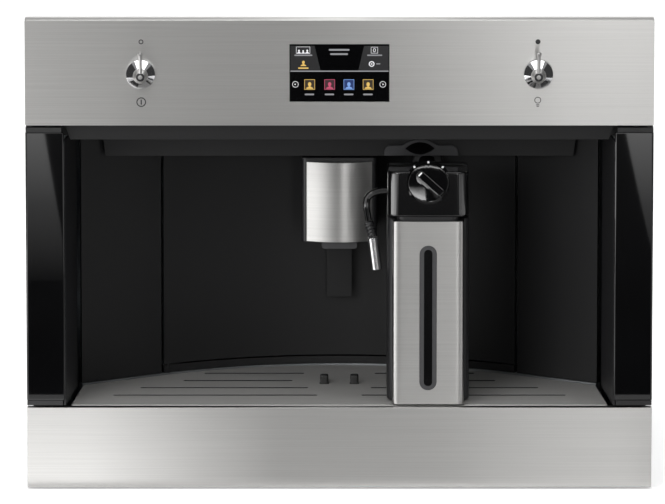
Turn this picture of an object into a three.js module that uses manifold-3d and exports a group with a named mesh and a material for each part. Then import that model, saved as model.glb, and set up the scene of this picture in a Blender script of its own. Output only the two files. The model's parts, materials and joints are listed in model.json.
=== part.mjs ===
// Built-in coffee machine with a curved niche, a milk carafe and a pull-out chassis.
// Millimetres, +Z up. The front faces -Y. The machine stands on Z = 0, and the origin lies in the
// middle of its footprint. Inside the machine group, y is the depth behind the front plane.

import * as THREE from 'three';
import { mergeVertices } from 'three/addons/utils/BufferGeometryUtils.js';
import Module from 'manifold-3d';

const wasm = await Module();
wasm.setup();

// ---------------------------------------------------------------- driving dimensions

// Whole machine
const frontWidth = 595;
const frontHeight = 455;
const machineDepth = 412;
const knobReach = 27;
const bodyDrop = 79;
const frontOverhang = 32.5;
const frontLift = 2;

// Sheet, moulding and fits
const sheet = 1.5;
const moulding = 2;
const fit = 0.3;
const slack = 1.5;
const reveal = 2;

// Chassis
const footHeight = 3;
const footRadius = 13;
const footInset = 45;
const footMargin = 26;
const flangeHeight = 17;
const sillThickness = 8;
const pivotRadius = 2.2;
const ventCount = 9;
const ventPitch = 11;
const ventHeight = 4;
const ventLength = 70;
const ventFoot = 58;
const ventMargin = 47;
const louvreCount = 8;
const louvrePitch = 16;
const louvreHeight = 6;
const louvreWidth = 90;
const louvreSpacing = 180;
const louvreFoot = 197;

// Mains inlet
const inletInset = 65;
const inletZ = 52;
const inletWidth = 30;
const inletHeight = 24;
const inletDepth = 26;
const inletFlange = 5;
const recessWidth = 24;
const recessHeight = 17;
const recessDepth = 16;
const contactSpacing = 7;

// Front panels and the frame behind them
const controlHeight = 101;
const lowerHeight = 78;
const pillarWidth = 36.6;
const controlReturn = 20.7;
const lowerReturn = 9.5;
const framePlate = 3;
const frameInset = 5.5;
const channelWall = 3;
const glassThickness = 4;
const glassChamfer = 1.2;
const pillarCap = 5;

// Knobs, display and board
const knobSpacing = 376;
const knobDrop = 51;
const knobRadius = 14;
const knobShaft = 3;
const leverHeight = 25;
const leverWidth = 3.6;
const displayWidth = 94;
const displayHeight = 55;
const displayDrop = 50.5;
const displayThickness = 3.2;
const boardFront = 12;
const boardThickness = 1.6;
const boardMargin = 24;
const boardHeight = 60;
const switchRadius = 10;
const postRadius = 3.5;

// Niche
const trayFront = 12;
const trayGap = 5.4;
const cornerGap = 14.9;
const trayCornerDepth = 97;
const arcHalf = 168;
const arcDepth = 185;
const arcRadius = 350;
const panelSetback = 3;
const panelThickness = 3;
const valanceHeight = 14;
const headerFace = 106.6;
const headerDrop = 36.8;
const headerSlope = 5;
const wallRear = 85;
const wallTaper = 9;
const grooveWidth = 5;
const sillHeight = 7;
const lampSpacing = 300;
const lampRadius = 13;
const lampDepth = 60;

// Service door
const doorGap = 0.4;
const ribDepth = 9;
const hingeInset = 2.5;
const guideHead = 24;
const guideWeb = 12;
const guideDepth = 13;
const guideFlange = 5;
const seatRadius = 16;

// Drip drawer
const gridThickness = 1.5;
const gridRim = 6;
const slotWidth = 4;
const slotRows = [
  { depth: 54, near: 21, margin: 34 },
  { depth: 86, near: 30, margin: 56 },
  { depth: 117, near: 45, margin: 61 },
  { depth: 149, near: 34, margin: 24 },
];
const pegSpacing = 29;
const pegRadius = 4;
const pegRise = 8.5;
const pegDepth = 106;
const raftLength = 32;
const raftHeight = 14;
const trayDepth = 46;
const tongueMargin = 6;
const lipHeight = 10;
const runnerWidth = 3;
const containerWidth = 120;
const containerLength = 120;
const containerHeight = 43;
const containerDraft = 0.94;

// Coffee spout
const spoutHalf = 36.3;
const spoutReach = 85;
const spoutBow = 6;
const spoutGap = 1.7;
const spoutHeight = 83;
const spoutTravel = 55;
const spoutCoverHalf = 31.5;
const spoutCoverHeight = 77.8;
const outletHalf = 17;
const outletHeight = 7.2;
const outletSpacing = 16;

// Milk carafe
const carafeGap = 8.9;
const carafeHalf = 39.2;
const carafeFront = 8;
const carafeRear = 103;
const carafeWall = 2.5;
const coverInset = 5.1;
const coverDepth = 14;
const coverThickness = 1.2;
const windowWidth = 16.5;
const windowRise = 13.5;
const windowHeight = 141;
const windowSlot = 8;
const lidRise = 3.9;
const lidGap = 3.6;
const lidHeight = 44;
const plugDepth = 6;
const dialRadius = 19.2;
const dialTilt = THREE.MathUtils.degToRad(30);
const dialTurn = THREE.MathUtils.degToRad(-43);
const dialDrop = 10.1;
const dialDepth = 8;
const stemRadius = 4;
const nozzleRadius = 8;
const nozzleDrop = 22.1;
const socketDepth = 12;
const pipeRadius = 3.4;
const pipeDepth = 45;
const pipeDrop = 24.9;
const pipeReach = 19.6;
const nutLength = 15.6;
const sleeveRadius = 5;
const sleeveLength = 31.2;
const sleeveLean = 7.8;

// Docking bezel above the carafe
const dockOffset = 7.1;
const dockRise = 7.8;
const eyeWidth = 28;
const eyeHeight = 12.3;
const bezelThickness = 2.7;
const bezelHeight = 10;

// Works and top
const hopperWidth = 140;
const hopperLength = 168;
const hopperHeight = 76;
const hopperWall = 2.5;
const hopperTaper = 0.5;
const throatRadius = 16;
const stackX = 0;
const stackGap = 36;
const grinderRadius = 40;
const grinderHeight = 92;
const infuserWidth = 100;
const infuserLength = 124;
const bracketGap = 6;
const bracketSheet = 2.5;
const tankWidth = 66;
const tankLength = 112;
const tankInset = 15.5;
const tankMargin = 16;
const lidThickness = 3;
const funnelSize = 50;
const funnelGap = 44;
const funnelMargin = 20;
const boilerRadius = 36;
const boilerHeight = 118;
const boilerLift = 90;
const boilerInset = 110;
const boilerDepth = 300;
const pumpRadius = 22;
const pumpInset = 70;
const pumpDepth = 216;

// Telescopic rails
const railHeight = 45;
const railLength = 360;
const railSheet = 1.6;
const railInnerDepth = 3;
const railMiddleDepth = 4;
const railOuterDepth = 6;
const railStep = 8;
const railLip = 4;
const railZ = 190;
const railStart = 30;
const screwInset = 40;
const screwRadius = 3;

// ---------------------------------------------------------------- worked-out places

const frontPlane = (knobReach - machineDepth) / 2;
const fasciaHalf = frontWidth / 2;
const bodyHalf = fasciaHalf - frontOverhang;
const lowerTop = frontLift + lowerHeight;
const controlBottom = frontHeight - controlHeight;
const nicheHalf = fasciaHalf - pillarWidth;
const nicheFloor = lowerTop + slack;
const frameFront = controlReturn + fit;
const frameBack = frameFront + framePlate;
const valanceTop = controlBottom - reveal;
const ceiling = valanceTop - valanceHeight;
const headerBottom = ceiling + moulding - headerDrop;
const baseTop = footHeight + sheet;
const coverTop = frontHeight - bodyDrop;
const inletX = bodyHalf - inletInset;
const knobZ = frontHeight - knobDrop;
const displayZ = frontHeight - displayDrop;

const trayFrontHalf = nicheHalf - trayGap;
const trayCornerHalf = nicheHalf - cornerGap;
const arcCentre = arcDepth - arcRadius;
const arcCorner = arcCentre + Math.sqrt(arcRadius ** 2 - arcHalf ** 2);
const jointAngle = Math.asin(arcHalf / arcRadius);
const headerHalf = trayHalfAt(headerFace) - fit;
const doorFace = arcRadius + panelSetback;
const doorBack = doorFace + panelThickness;
const doorTop = headerBottom - slack;
const doorBottom = nicheFloor + sillHeight + slack;
const hingeX = -(arcHalf - hingeInset);
const hingeDepth = arcCentre + Math.sqrt(doorFace ** 2 - hingeX ** 2) + hingeInset;
const pivotHole = pivotRadius + fit;

const spoutTop = headerBottom - spoutGap;
const spoutBottom = spoutTop - spoutHeight;
const spoutFront = arcDepth - spoutReach;
const spoutEdge = spoutFront + spoutBow;
const spoutBack = arcCentre + doorFace - 2.5;
const guideFoot = spoutBottom - spoutTravel - guideDepth;

const trayFloor = lowerTop - gridThickness - trayDepth;
const tongueHalf = containerWidth / 2 + tongueMargin;
const tongueBack = arcDepth + containerLength + 16;

const carafeX = spoutHalf + carafeGap + carafeHalf;
const coverHalf = carafeHalf - coverInset;
const lidTop = headerBottom + lidRise;
const lidBottom = lidTop - lidHeight;
const carafeTop = lidBottom - lidGap;
const noseBack = carafeFront + coverDepth;
const windowBottom = nicheFloor + windowRise;
const dialZ = lidTop - dialDrop;
const nozzleZ = lidTop - nozzleDrop;
const pipeZ = lidTop - pipeDrop;
const dockX = carafeX - dockOffset;
const dockZ = headerBottom + dockRise;

const stackDepth = arcDepth + stackGap + hopperLength / 2;
const hopperTop = coverTop - sheet - fit;
const hopperFoot = hopperTop - hopperHeight;
const grinderFoot = hopperFoot - fit - grinderHeight;
const infuserTop = grinderFoot - fit;
const infuserFoot = nicheFloor + moulding;
const tankX = -bodyHalf + tankInset + tankWidth / 2;
const tankDepth = machineDepth - tankMargin - tankLength / 2;
const funnelX = stackX + hopperWidth / 2 + funnelGap;
const funnelDepth = machineDepth - funnelMargin - funnelSize / 2;

// ---------------------------------------------------------------- solids

// Turns a closed geometry into a solid that can be joined and cut.
function solid(geometry) {
  const bare = geometry.clone();
  bare.deleteAttribute('normal');
  bare.deleteAttribute('uv');
  const merged = mergeVertices(bare, 1e-4);
  const corners = merged.index.array;
  const triangles = [];
  for (let i = 0; i < corners.length; i += 3) {
    const [a, b, c] = corners.slice(i, i + 3);
    if (a !== b && b !== c && c !== a) triangles.push(a, b, c);
  }
  const vertProperties = new Float32Array(merged.attributes.position.array);
  const triVerts = new Uint32Array(triangles);
  return new wasm.Manifold(new wasm.Mesh({ numProp: 3, vertProperties, triVerts }));
}

// Turns a solid back into a geometry.
function geometryOf(body) {
  const { vertProperties, triVerts } = body.getMesh();
  const geometry = new THREE.BufferGeometry();
  geometry.setAttribute('position', new THREE.BufferAttribute(vertProperties, 3));
  geometry.setIndex(new THREE.BufferAttribute(triVerts, 1));
  geometry.computeVertexNormals();
  return geometry;
}

// Box between two values on each axis.
function block(x0, x1, y0, y1, z0, z1) {
  const geometry = new THREE.BoxGeometry(x1 - x0, y1 - y0, z1 - z0);
  geometry.translate((x0 + x1) / 2, (y0 + y1) / 2, (z0 + z1) / 2);
  return solid(geometry);
}

const alongX = new THREE.Vector3(1, 0, 0);
const alongY = new THREE.Vector3(0, 1, 0);
const alongZ = new THREE.Vector3(0, 0, 1);
const planes = {
  xy: [alongX, alongY, alongZ],
  xz: [alongX, alongZ, alongY.clone().negate()],
  yz: [alongY, alongZ, alongX],
};

// Outline drawn in one plane and pulled from one value to another on the third axis, with round
// edges where round is given.
function prism(shape, plane, from, to, { steps = 5, round = 0 } = {}) {
  const geometry = new THREE.ExtrudeGeometry(shape, {
    depth: to - from - 2 * round,
    curveSegments: steps,
    bevelEnabled: round > 0,
    bevelThickness: round,
    bevelSize: round,
    bevelOffset: -round,
    bevelSegments: 2,
  });
  geometry.translate(0, 0, plane === 'xz' ? round - to : round + from);
  geometry.applyMatrix4(new THREE.Matrix4().makeBasis(...planes[plane]));
  return solid(geometry);
}

// Rectangle with round corners, as an outline.
function roundedRectangle(u0, u1, v0, v1, radius) {
  const shape = new THREE.Shape();
  shape.absarc(u1 - radius, v0 + radius, radius, -Math.PI / 2, 0);
  shape.absarc(u1 - radius, v1 - radius, radius, 0, Math.PI / 2);
  shape.absarc(u0 + radius, v1 - radius, radius, Math.PI / 2, Math.PI);
  shape.absarc(u0 + radius, v0 + radius, radius, Math.PI, 1.5 * Math.PI);
  return shape;
}

// Slot with half-round ends, as an outline, from its middle.
function stadium(u, v, width, height) {
  const radius = Math.min(width, height) / 2;
  return roundedRectangle(u - width / 2, u + width / 2, v - height / 2, v + height / 2, radius);
}

function polygon(points) {
  return new THREE.Shape(points.map(([u, v]) => new THREE.Vector2(u, v)));
}

// Band of even thickness along a line of points, to the left of its direction, as an outline.
function band(points, thickness) {
  const line = points.map(([u, v]) => new THREE.Vector2(u, v));
  const offset = line.map((point, i) => {
    const before = line[Math.max(i - 1, 0)];
    const after = line[Math.min(i + 1, line.length - 1)];
    const inward = i > 0 ? point.clone().sub(before) : after.clone().sub(point);
    const outward = i < line.length - 1 ? after.clone().sub(point) : inward.clone();
    const a = new THREE.Vector2(-inward.y, inward.x).normalize();
    const b = new THREE.Vector2(-outward.y, outward.x).normalize();
    const bisector = a.clone().add(b).normalize();
    return point.clone().addScaledVector(bisector, thickness / bisector.dot(a));
  });
  return new THREE.Shape([...line, ...offset.reverse()]);
}

// Round piece turned about an axis: the profile holds [radius, height] pairs from its foot up.
function turned(profile, axis = 'z', sides = 24) {
  const points = profile.map(([radius, height]) => new THREE.Vector2(radius, height));
  const geometry = new THREE.LatheGeometry(points, sides);
  if (axis === 'z') geometry.rotateX(Math.PI / 2);
  if (axis === 'front') geometry.rotateX(Math.PI);
  if (axis === 'x') geometry.rotateZ(-Math.PI / 2);
  return solid(geometry);
}

// Plain round bar or hole between two heights.
function rod(radius, from, to, axis = 'z', sides = 12) {
  return turned([[0, from], [radius, from], [radius, to], [0, to]], axis, sides);
}

// Round tube or bar along a smooth path.
function pipe(points, radius, sides = 12, steps = 24) {
  const ring = [];
  for (let i = 0; i < sides; i += 1) {
    const turn = (i / sides) * 2 * Math.PI;
    ring.push([radius * Math.cos(turn), radius * Math.sin(turn)]);
  }
  const path = new THREE.CatmullRomCurve3(points.map((point) => new THREE.Vector3(...point)));
  return solid(new THREE.ExtrudeGeometry(polygon(ring), {
    extrudePath: path,
    steps,
    bevelEnabled: false,
  }));
}

// Square-sided funnel or tapered box, wider or narrower at its foot by the ratio.
function tapered(x, y, width, length, from, to, ratio) {
  const corner = Math.SQRT1_2;
  const geometry = new THREE.CylinderGeometry(corner, corner * ratio, to - from, 4);
  geometry.rotateY(Math.PI / 4);
  geometry.rotateX(Math.PI / 2);
  geometry.scale(width, length, 1);
  geometry.translate(x, y, (from + to) / 2);
  return solid(geometry);
}

function joined(...bodies) {
  return bodies.reduce((whole, body) => whole.add(body));
}

function cut(whole, ...holes) {
  return holes.reduce((rest, hole) => rest.subtract(hole), whole);
}

// ---------------------------------------------------------------- finishes

const finish = (color, roughness, metalness) => ({ color, roughness, metalness });
const brushedSteel = finish(0xb9babb, 0.35, 0.9);
const zincSteel = finish(0x9a9da0, 0.5, 0.85);
const polishedChrome = finish(0xe0e2e4, 0.08, 1);
const blackPaint = finish(0x17181a, 0.55, 0.1);
const glossBlack = finish(0x0b0c0e, 0.12, 0);
const satinBlack = finish(0x151617, 0.4, 0);
const darkGrey = finish(0x3c3d3f, 0.35, 0);
const blackGlass = finish(0x08090b, 0.05, 0);
const clearPlastic = finish(0xc9d4d8, 0.15, 0);
const smokedPlastic = finish(0x4a4744, 0.2, 0);
const circuitGreen = finish(0x2c5a3c, 0.6, 0);
const castMetal = finish(0x8a8c8e, 0.45, 0.8);
const warmLens = finish(0xe8e4d8, 0.3, 0);

function part(name, body, look, place = [0, 0, 0]) {
  const material = new THREE.MeshStandardMaterial(look);
  const mesh = new THREE.Mesh(geometryOf(body), material);
  mesh.name = name;
  mesh.position.set(...place);
  return mesh;
}

function assembly(...pieces) {
  const group = new THREE.Group();
  group.add(...pieces.flat());
  return group;
}

const sides = [
  { name: 'left', sign: -1 },
  { name: 'right', sign: 1 },
];

// Two values in rising order, mirrored when the sign is negative.
function span(sign, a, b) {
  return sign > 0 ? [a, b] : [-b, -a];
}

// ---------------------------------------------------------------- telescopic rails

// C-shaped channel: web on one face, lips turned in at the top and bottom edges.
function railChannel(sign, from, depth, height, lip) {
  const web = block(...span(sign, from, from + railSheet), 0, railLength, -height / 2, height / 2);
  const flanges = [-1, 1].map((edge) => {
    const outer = edge * height / 2;
    const inner = outer - edge * lip;
    return block(...span(sign, from, from + depth), 0, railLength,
      Math.min(outer, inner), Math.max(outer, inner));
  });
  return joined(web, ...flanges);
}

function rails() {
  const inner = bodyHalf + fit;
  const middle = inner + railInnerDepth + fit;
  const outer = middle + railMiddleDepth + fit;
  const place = [0, railStart, railZ];
  return sides.flatMap(({ name, sign }) => {
    const innerRail = railChannel(sign, inner, railInnerDepth, railHeight - 2 * railStep, railLip);
    const middleRail = railChannel(sign, middle, railMiddleDepth, railHeight - railStep + 1, railLip);
    const web = railChannel(sign, outer + railOuterDepth - railSheet, railSheet, railHeight, railLip);
    const lips = [
      [-railHeight / 2, -railHeight / 2 + railSheet * 2],
      [railHeight / 2 - railSheet * 2, railHeight / 2],
    ].map((z) => block(...span(sign, outer, outer + railOuterDepth), 0, railLength, ...z));
    const screws = [screwInset, railLength / 2, railLength - screwInset].map((y) => (
      rod(screwRadius, outer, outer + railOuterDepth + 1, 'x').translate([0, y, 0])
    ));
    const holes = sign > 0 ? screws : screws.map((hole) => hole.mirror([1, 0, 0]));
    return [
      part(`rail_inner_${name}`, innerRail, zincSteel, place),
      part(`rail_middle_${name}`, middleRail, zincSteel, place),
      part(`rail_outer_${name}`, cut(joined(web, ...lips), ...holes), zincSteel, place),
    ];
  });
}

// ---------------------------------------------------------------- chassis

// Plan line that follows the back of the tray, from left to right, at a distance behind it.
function trayBackLine(distance, arcSteps = 12) {
  const radius = arcRadius + distance;
  const slope = Math.atan2(arcHalf - trayCornerHalf, arcCorner - trayCornerDepth);
  const normal = [Math.cos(slope), -Math.sin(slope)];
  const corner = [
    trayCornerHalf + distance * Math.abs(normal[0]),
    trayCornerDepth + distance * Math.abs(normal[1]),
  ];
  const points = [];
  for (let i = 0; i <= arcSteps; i += 1) {
    const turn = -jointAngle + (2 * jointAngle * i) / arcSteps;
    points.push([radius * Math.sin(turn), arcCentre + radius * Math.cos(turn)]);
  }
  return [[-corner[0], corner[1]], ...points, corner];
}

// Pressed floor with four feet, a flange all round and the upright sill behind the drip tray.
function chassisBase() {
  const half = bodyHalf - sheet - fit;
  const back = machineDepth - sheet - 2 * fit;
  const front = frameBack + fit;
  const rim = baseTop + flangeHeight;
  const pan = cut(
    block(-half, half, front, back, footHeight, rim),
    block(-half + sheet, half - sheet, 0, back - sheet, baseTop, rim + 1),
  );
  const foot = turned([
    [0, 0], [footRadius - 2, 0], [footRadius, 1.2], [footRadius, baseTop], [0, baseTop],
  ], 'z', 12);
  const feet = [-1, 1].flatMap((sign) => [front + footMargin, back - footMargin].map((y) => (
    foot.translate([sign * (bodyHalf - footInset), y, 0])
  )));
  const sillTop = nicheFloor - fit;
  const sill = prism(band(trayBackLine(slack + fit), sillThickness), 'xy', footHeight + 1, sillTop);
  const doorway = block(-tongueHalf - tongueMargin, tongueHalf + tongueMargin, 0, machineDepth,
    baseTop, lowerTop - slack);
  const pocket = rod(pivotHole, sillTop - 2 * pivotRadius, sillTop + 1)
    .translate([hingeX, hingeDepth, 0]);
  return part('chassis_base', cut(joined(pan, ...feet, sill), doorway, pocket), zincSteel);
}

// Side sheets with a field of slots near the rear, beside the boiler and the tank.
function sidePanels() {
  const front = frameBack + fit;
  const back = machineDepth - sheet - fit;
  const ventBack = machineDepth - ventMargin;
  return sides.map(({ name, sign }) => {
    const panel = block(...span(sign, bodyHalf - sheet, bodyHalf), front, back,
      footHeight + 1, coverTop - sheet - fit);
    const vents = [];
    for (let i = 0; i < ventCount; i += 1) {
      const z = ventFoot + i * ventPitch;
      vents.push(block(...span(sign, bodyHalf - sheet - 1, bodyHalf + 1), ventBack - ventLength,
        ventBack, z, z + ventHeight));
    }
    return part(`side_panel_${name}`, cut(panel, ...vents), zincSteel);
  });
}

// Rear sheet with two fields of louvres and the opening for the inlet.
function rearPanel() {
  const front = machineDepth - sheet;
  const plate = block(-bodyHalf, bodyHalf, front, machineDepth, footHeight + 1,
    coverTop - sheet - fit);
  const openings = [];
  for (const x of [-louvreSpacing / 2, louvreSpacing / 2]) {
    for (let i = 0; i < louvreCount; i += 1) {
      const z = louvreFoot + i * louvrePitch;
      openings.push(block(x - louvreWidth / 2, x + louvreWidth / 2, front - 1, machineDepth + 1,
        z, z + louvreHeight));
    }
  }
  openings.push(block(inletX - inletWidth / 2 - fit, inletX + inletWidth / 2 + fit,
    front - 1, machineDepth + 1,
    inletZ - inletHeight / 2 - fit, inletZ + inletHeight / 2 + fit));
  return part('rear_panel', cut(plate, ...openings), zincSteel);
}

// Shrouded appliance inlet with its flange, its recess and three contacts.
function mainsInlet() {
  const back = machineDepth - fit;
  const seat = machineDepth - sheet - fit;
  const [halfWidth, halfHeight] = [inletWidth / 2, inletHeight / 2];
  const body = block(inletX - halfWidth, inletX + halfWidth, back - inletDepth, back,
    inletZ - halfHeight, inletZ + halfHeight);
  const flange = block(inletX - halfWidth - inletFlange, inletX + halfWidth + inletFlange,
    seat - 2.5, seat, inletZ - halfHeight - inletFlange, inletZ + halfHeight + inletFlange);
  const recess = prism(roundedRectangle(inletX - recessWidth / 2, inletX + recessWidth / 2,
    inletZ - recessHeight / 2, inletZ + recessHeight / 2, 3), 'xz', back - recessDepth, back + 5,
  { steps: 2 });
  const contacts = [-1, 0, 1].map((step) => {
    const x = inletX + step * contactSpacing;
    const z = inletZ + (step === 0 ? 3 : -1);
    return block(x - 1, x + 1, back - recessDepth - 1, back - 2, z - 2, z + 2);
  });
  return part('mains_inlet', joined(cut(joined(body, flange), recess), ...contacts), satinBlack);
}

// Top sheet with the openings that the tank, the hopper and the funnel are reached through.
function topCover() {
  const z = [coverTop - sheet, coverTop];
  const plate = block(-bodyHalf, bodyHalf, frameBack + fit, machineDepth, ...z);
  const hole = (x, y, width, length) => block(x - width / 2, x + width / 2,
    y - length / 2, y + length / 2, z[0] - 1, z[1] + 1);
  const rest = 5;
  return part('top_cover', cut(
    plate,
    hole(tankX, tankDepth, tankWidth + 2 * slack, tankLength + 2 * slack),
    hole(stackX, stackDepth, hopperWidth - 2 * rest, hopperLength - 2 * rest),
    hole(funnelX, funnelDepth, funnelSize - 2 * rest, funnelSize - 2 * rest),
  ), zincSteel);
}

// Steel frame behind the front: a cross beam, two legs, and a channel behind each glass pillar.
function frontFrame() {
  const half = fasciaHalf - frameInset;
  const windowHalf = nicheHalf + moulding + fit;
  const foot = frontLift + frameInset;
  const lintel = ceiling + moulding + fit;
  const plate = prism(polygon([
    [-half, foot], [-windowHalf, foot], [-windowHalf, lintel], [windowHalf, lintel],
    [windowHalf, foot], [half, foot], [half, frontHeight - frameInset],
    [-half, frontHeight - frameInset],
  ]), 'xz', frameFront, frameBack);
  const wiring = block(-displayWidth / 2, displayWidth / 2, 0, frameBack + 1,
    displayZ - displayHeight / 4, displayZ + displayHeight / 4);
  const channels = sides.flatMap(({ sign }) => {
    const x = [windowHalf, fasciaHalf - fit];
    const z = [lowerTop + reveal + fit, valanceTop - fit];
    const outer = block(...span(sign, ...x), glassThickness + fit, frameFront + 1, ...z);
    const caps = [
      block(...span(sign, ...x), fit, frameFront + 1, z[0], z[0] + pillarCap - fit),
      block(...span(sign, ...x), fit, frameFront + 1, z[1] - pillarCap + fit, z[1]),
    ];
    return joined(outer, ...caps);
  });
  const hollows = sides.map(({ sign }) => block(
    ...span(sign, windowHalf + channelWall, half - channelWall),
    glassThickness + fit + moulding, frameBack + 1,
    lowerTop + reveal + pillarCap + channelWall, valanceTop - pillarCap - channelWall,
  ));
  return part('front_frame', cut(joined(plate, ...channels), wiring, ...hollows), blackPaint);
}

// ---------------------------------------------------------------- front panels

// Folded panel with returned edges, open at the back.
function foldedPanel(z0, z1, returnDepth) {
  const outer = prism(roundedRectangle(-fasciaHalf, fasciaHalf, z0, z1, 1.2), 'xz', 0, returnDepth,
    { steps: 2 });
  const inner = block(-fasciaHalf + sheet, fasciaHalf - sheet, sheet, returnDepth + 1,
    z0 + sheet, z1 - sheet);
  return cut(outer, inner);
}

function controlFascia() {
  const panel = foldedPanel(controlBottom, frontHeight, controlReturn);
  const window = block(-displayWidth / 2 - fit, displayWidth / 2 + fit, -5, 5,
    displayZ - displayHeight / 2 - fit, displayZ + displayHeight / 2 + fit);
  const holes = [-1, 1].map((sign) => rod(knobShaft + 1, -5, 5, 'front')
    .translate([sign * knobSpacing / 2, 0, knobZ]));
  return part('control_fascia', cut(panel, window, ...holes), brushedSteel);
}

// Glass strips either side of the niche, with both front edges chamfered.
function pillarGlasses() {
  const z = [lowerTop + reveal + pillarCap + fit, valanceTop - pillarCap - fit];
  return sides.map(({ name, sign }) => {
    const pane = [
      [nicheHalf, glassChamfer], [nicheHalf + glassChamfer, 0], [fasciaHalf - glassChamfer, 0],
      [fasciaHalf, glassChamfer], [fasciaHalf, glassThickness], [nicheHalf, glassThickness],
    ].map(([x, y]) => [sign * x, y]);
    return part(`pillar_glass_${name}`, prism(polygon(pane), 'xy', ...z), blackGlass);
  });
}

function displayGlass() {
  const pane = prism(roundedRectangle(-displayWidth / 2, displayWidth / 2,
    displayZ - displayHeight / 2, displayZ + displayHeight / 2, 0.8), 'xz',
  fit, fit + displayThickness, { steps: 2 });
  return part('display_glass', pane, blackGlass);
}

// Board behind the fascia: display can, two rotary switches with shaft holes, eight posts.
function controlBoard() {
  const knobX = knobSpacing / 2;
  const [canHalf, canHeight] = [displayWidth / 2 - 3, displayHeight / 2 - 3];
  const board = block(-knobX - boardMargin, knobX + boardMargin, boardFront,
    boardFront + boardThickness, knobZ - boardHeight / 2, knobZ + boardHeight / 2);
  const can = block(-canHalf, canHalf, 2 * fit + displayThickness, boardFront + 1,
    displayZ - canHeight, displayZ + canHeight);
  const switches = [-1, 1].map((sign) => rod(switchRadius, -boardFront - 1, -sheet - fit, 'front', 14)
    .translate([sign * knobX, 0, knobZ]));
  const shafts = [-1, 1].map((sign) => rod(knobShaft + fit, -boardFront + 1, 1, 'front')
    .translate([sign * knobX, 0, knobZ]));
  const posts = [-knobX - 16, -knobX / 2, knobX / 2, knobX + 16].flatMap((x) => (
    [knobZ - 22, knobZ + 22].map((z) => (
      rod(postRadius, fit - frameFront, -boardFront - 1, 'front', 6).translate([x, 0, z])
    ))
  ));
  return part('control_board', cut(joined(board, can, ...switches, ...posts), ...shafts),
    circuitGreen);
}

// Domed chrome dial with a raised boss in the middle and the shaft that enters its switch.
function dial(name, x) {
  const profile = [
    [0, -9], [knobShaft, -9], [knobShaft, 0.8], [knobRadius, 0.8], [knobRadius, 2.2],
    [knobRadius - 1.2, 4], [knobRadius - 4.5, 7.2], [8, 10.4], [7, 12], [7, 14.5], [0, 14.5],
  ];
  return part(name, turned(profile, 'front', 20), polishedChrome, [x, 0, knobZ]);
}

// Lever on the dial's boss: a round cap with an arm that leans out and up to a bulb at its tip.
function lever(name, x) {
  const cap = turned([[0, 14.8], [6.4, 14.8], [6.4, 16.4], [4.4, 19], [0, 20]], 'front', 16);
  const arm = pipe([[0, -17, 0], [0, -19, 8], [0, -22, 16], [0, -25, leverHeight - 3]],
    leverWidth / 2, 8, 6);
  const tip = turned([[0, -2.6], [1.6, -2.1], [2.4, -0.6], [2.4, 0.6], [1.6, 1.9], [0, 2]], 'z', 12)
    .translate([0, 2.4 - knobReach, leverHeight - 2]);
  return part(name, joined(cap, arm, tip), polishedChrome, [x, 0, knobZ]);
}

function controls() {
  const x = knobSpacing / 2;
  return [
    dial('power_knob', -x), lever('power_lever', -x),
    dial('light_knob', x), lever('light_lever', x),
  ];
}

// ---------------------------------------------------------------- niche

// Side wall that narrows towards the back, with a groove before the back panel.
function nicheWalls() {
  return sides.map(({ name, sign }) => {
    const line = [
      [nicheHalf - doorGap, glassThickness + fit],
      [nicheHalf - doorGap - wallTaper, wallRear],
      [nicheHalf - doorGap - wallTaper + grooveWidth, wallRear + 4],
      [nicheHalf - doorGap - wallTaper + 3, trayCornerDepth + 8],
    ].map(([x, y]) => [sign * x, y]);
    const shape = band(sign > 0 ? line.reverse() : line, moulding);
    return part(`niche_wall_${name}`, prism(shape, 'xy', nicheFloor, ceiling - fit), satinBlack);
  });
}

// Flat back panel between the side groove and the service door.
function backPanels() {
  const line = trayBackLine(panelSetback);
  const outer = line[0];
  const inner = line[1];
  const length = Math.hypot(inner[0] - outer[0], inner[1] - outer[1]);
  const ux = (inner[0] - outer[0]) / length;
  const uy = (inner[1] - outer[1]) / length;
  const end = length - 2.6;
  return sides.map(({ name, sign }) => {
    const points = [[outer[0], outer[1]], [outer[0] + ux * end, outer[1] + uy * end]];
    const mirrored = points.map(([x, y]) => [-x, y]).reverse();
    const shape = band(sign < 0 ? points : mirrored, panelThickness);
    return part(`back_panel_${name}`, prism(shape, 'xy', nicheFloor, ceiling - fit), glossBlack);
  });
}

// Outline of the opening above the carafe, shared by the bezel and the header behind it.
function dockEye(x, z, width, height) {
  const shape = new THREE.Shape();
  shape.moveTo(x - width / 2, z);
  shape.quadraticCurveTo(x, z - height, x + width / 2, z);
  shape.quadraticCurveTo(x, z + height, x - width / 2, z);
  return shape;
}

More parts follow.
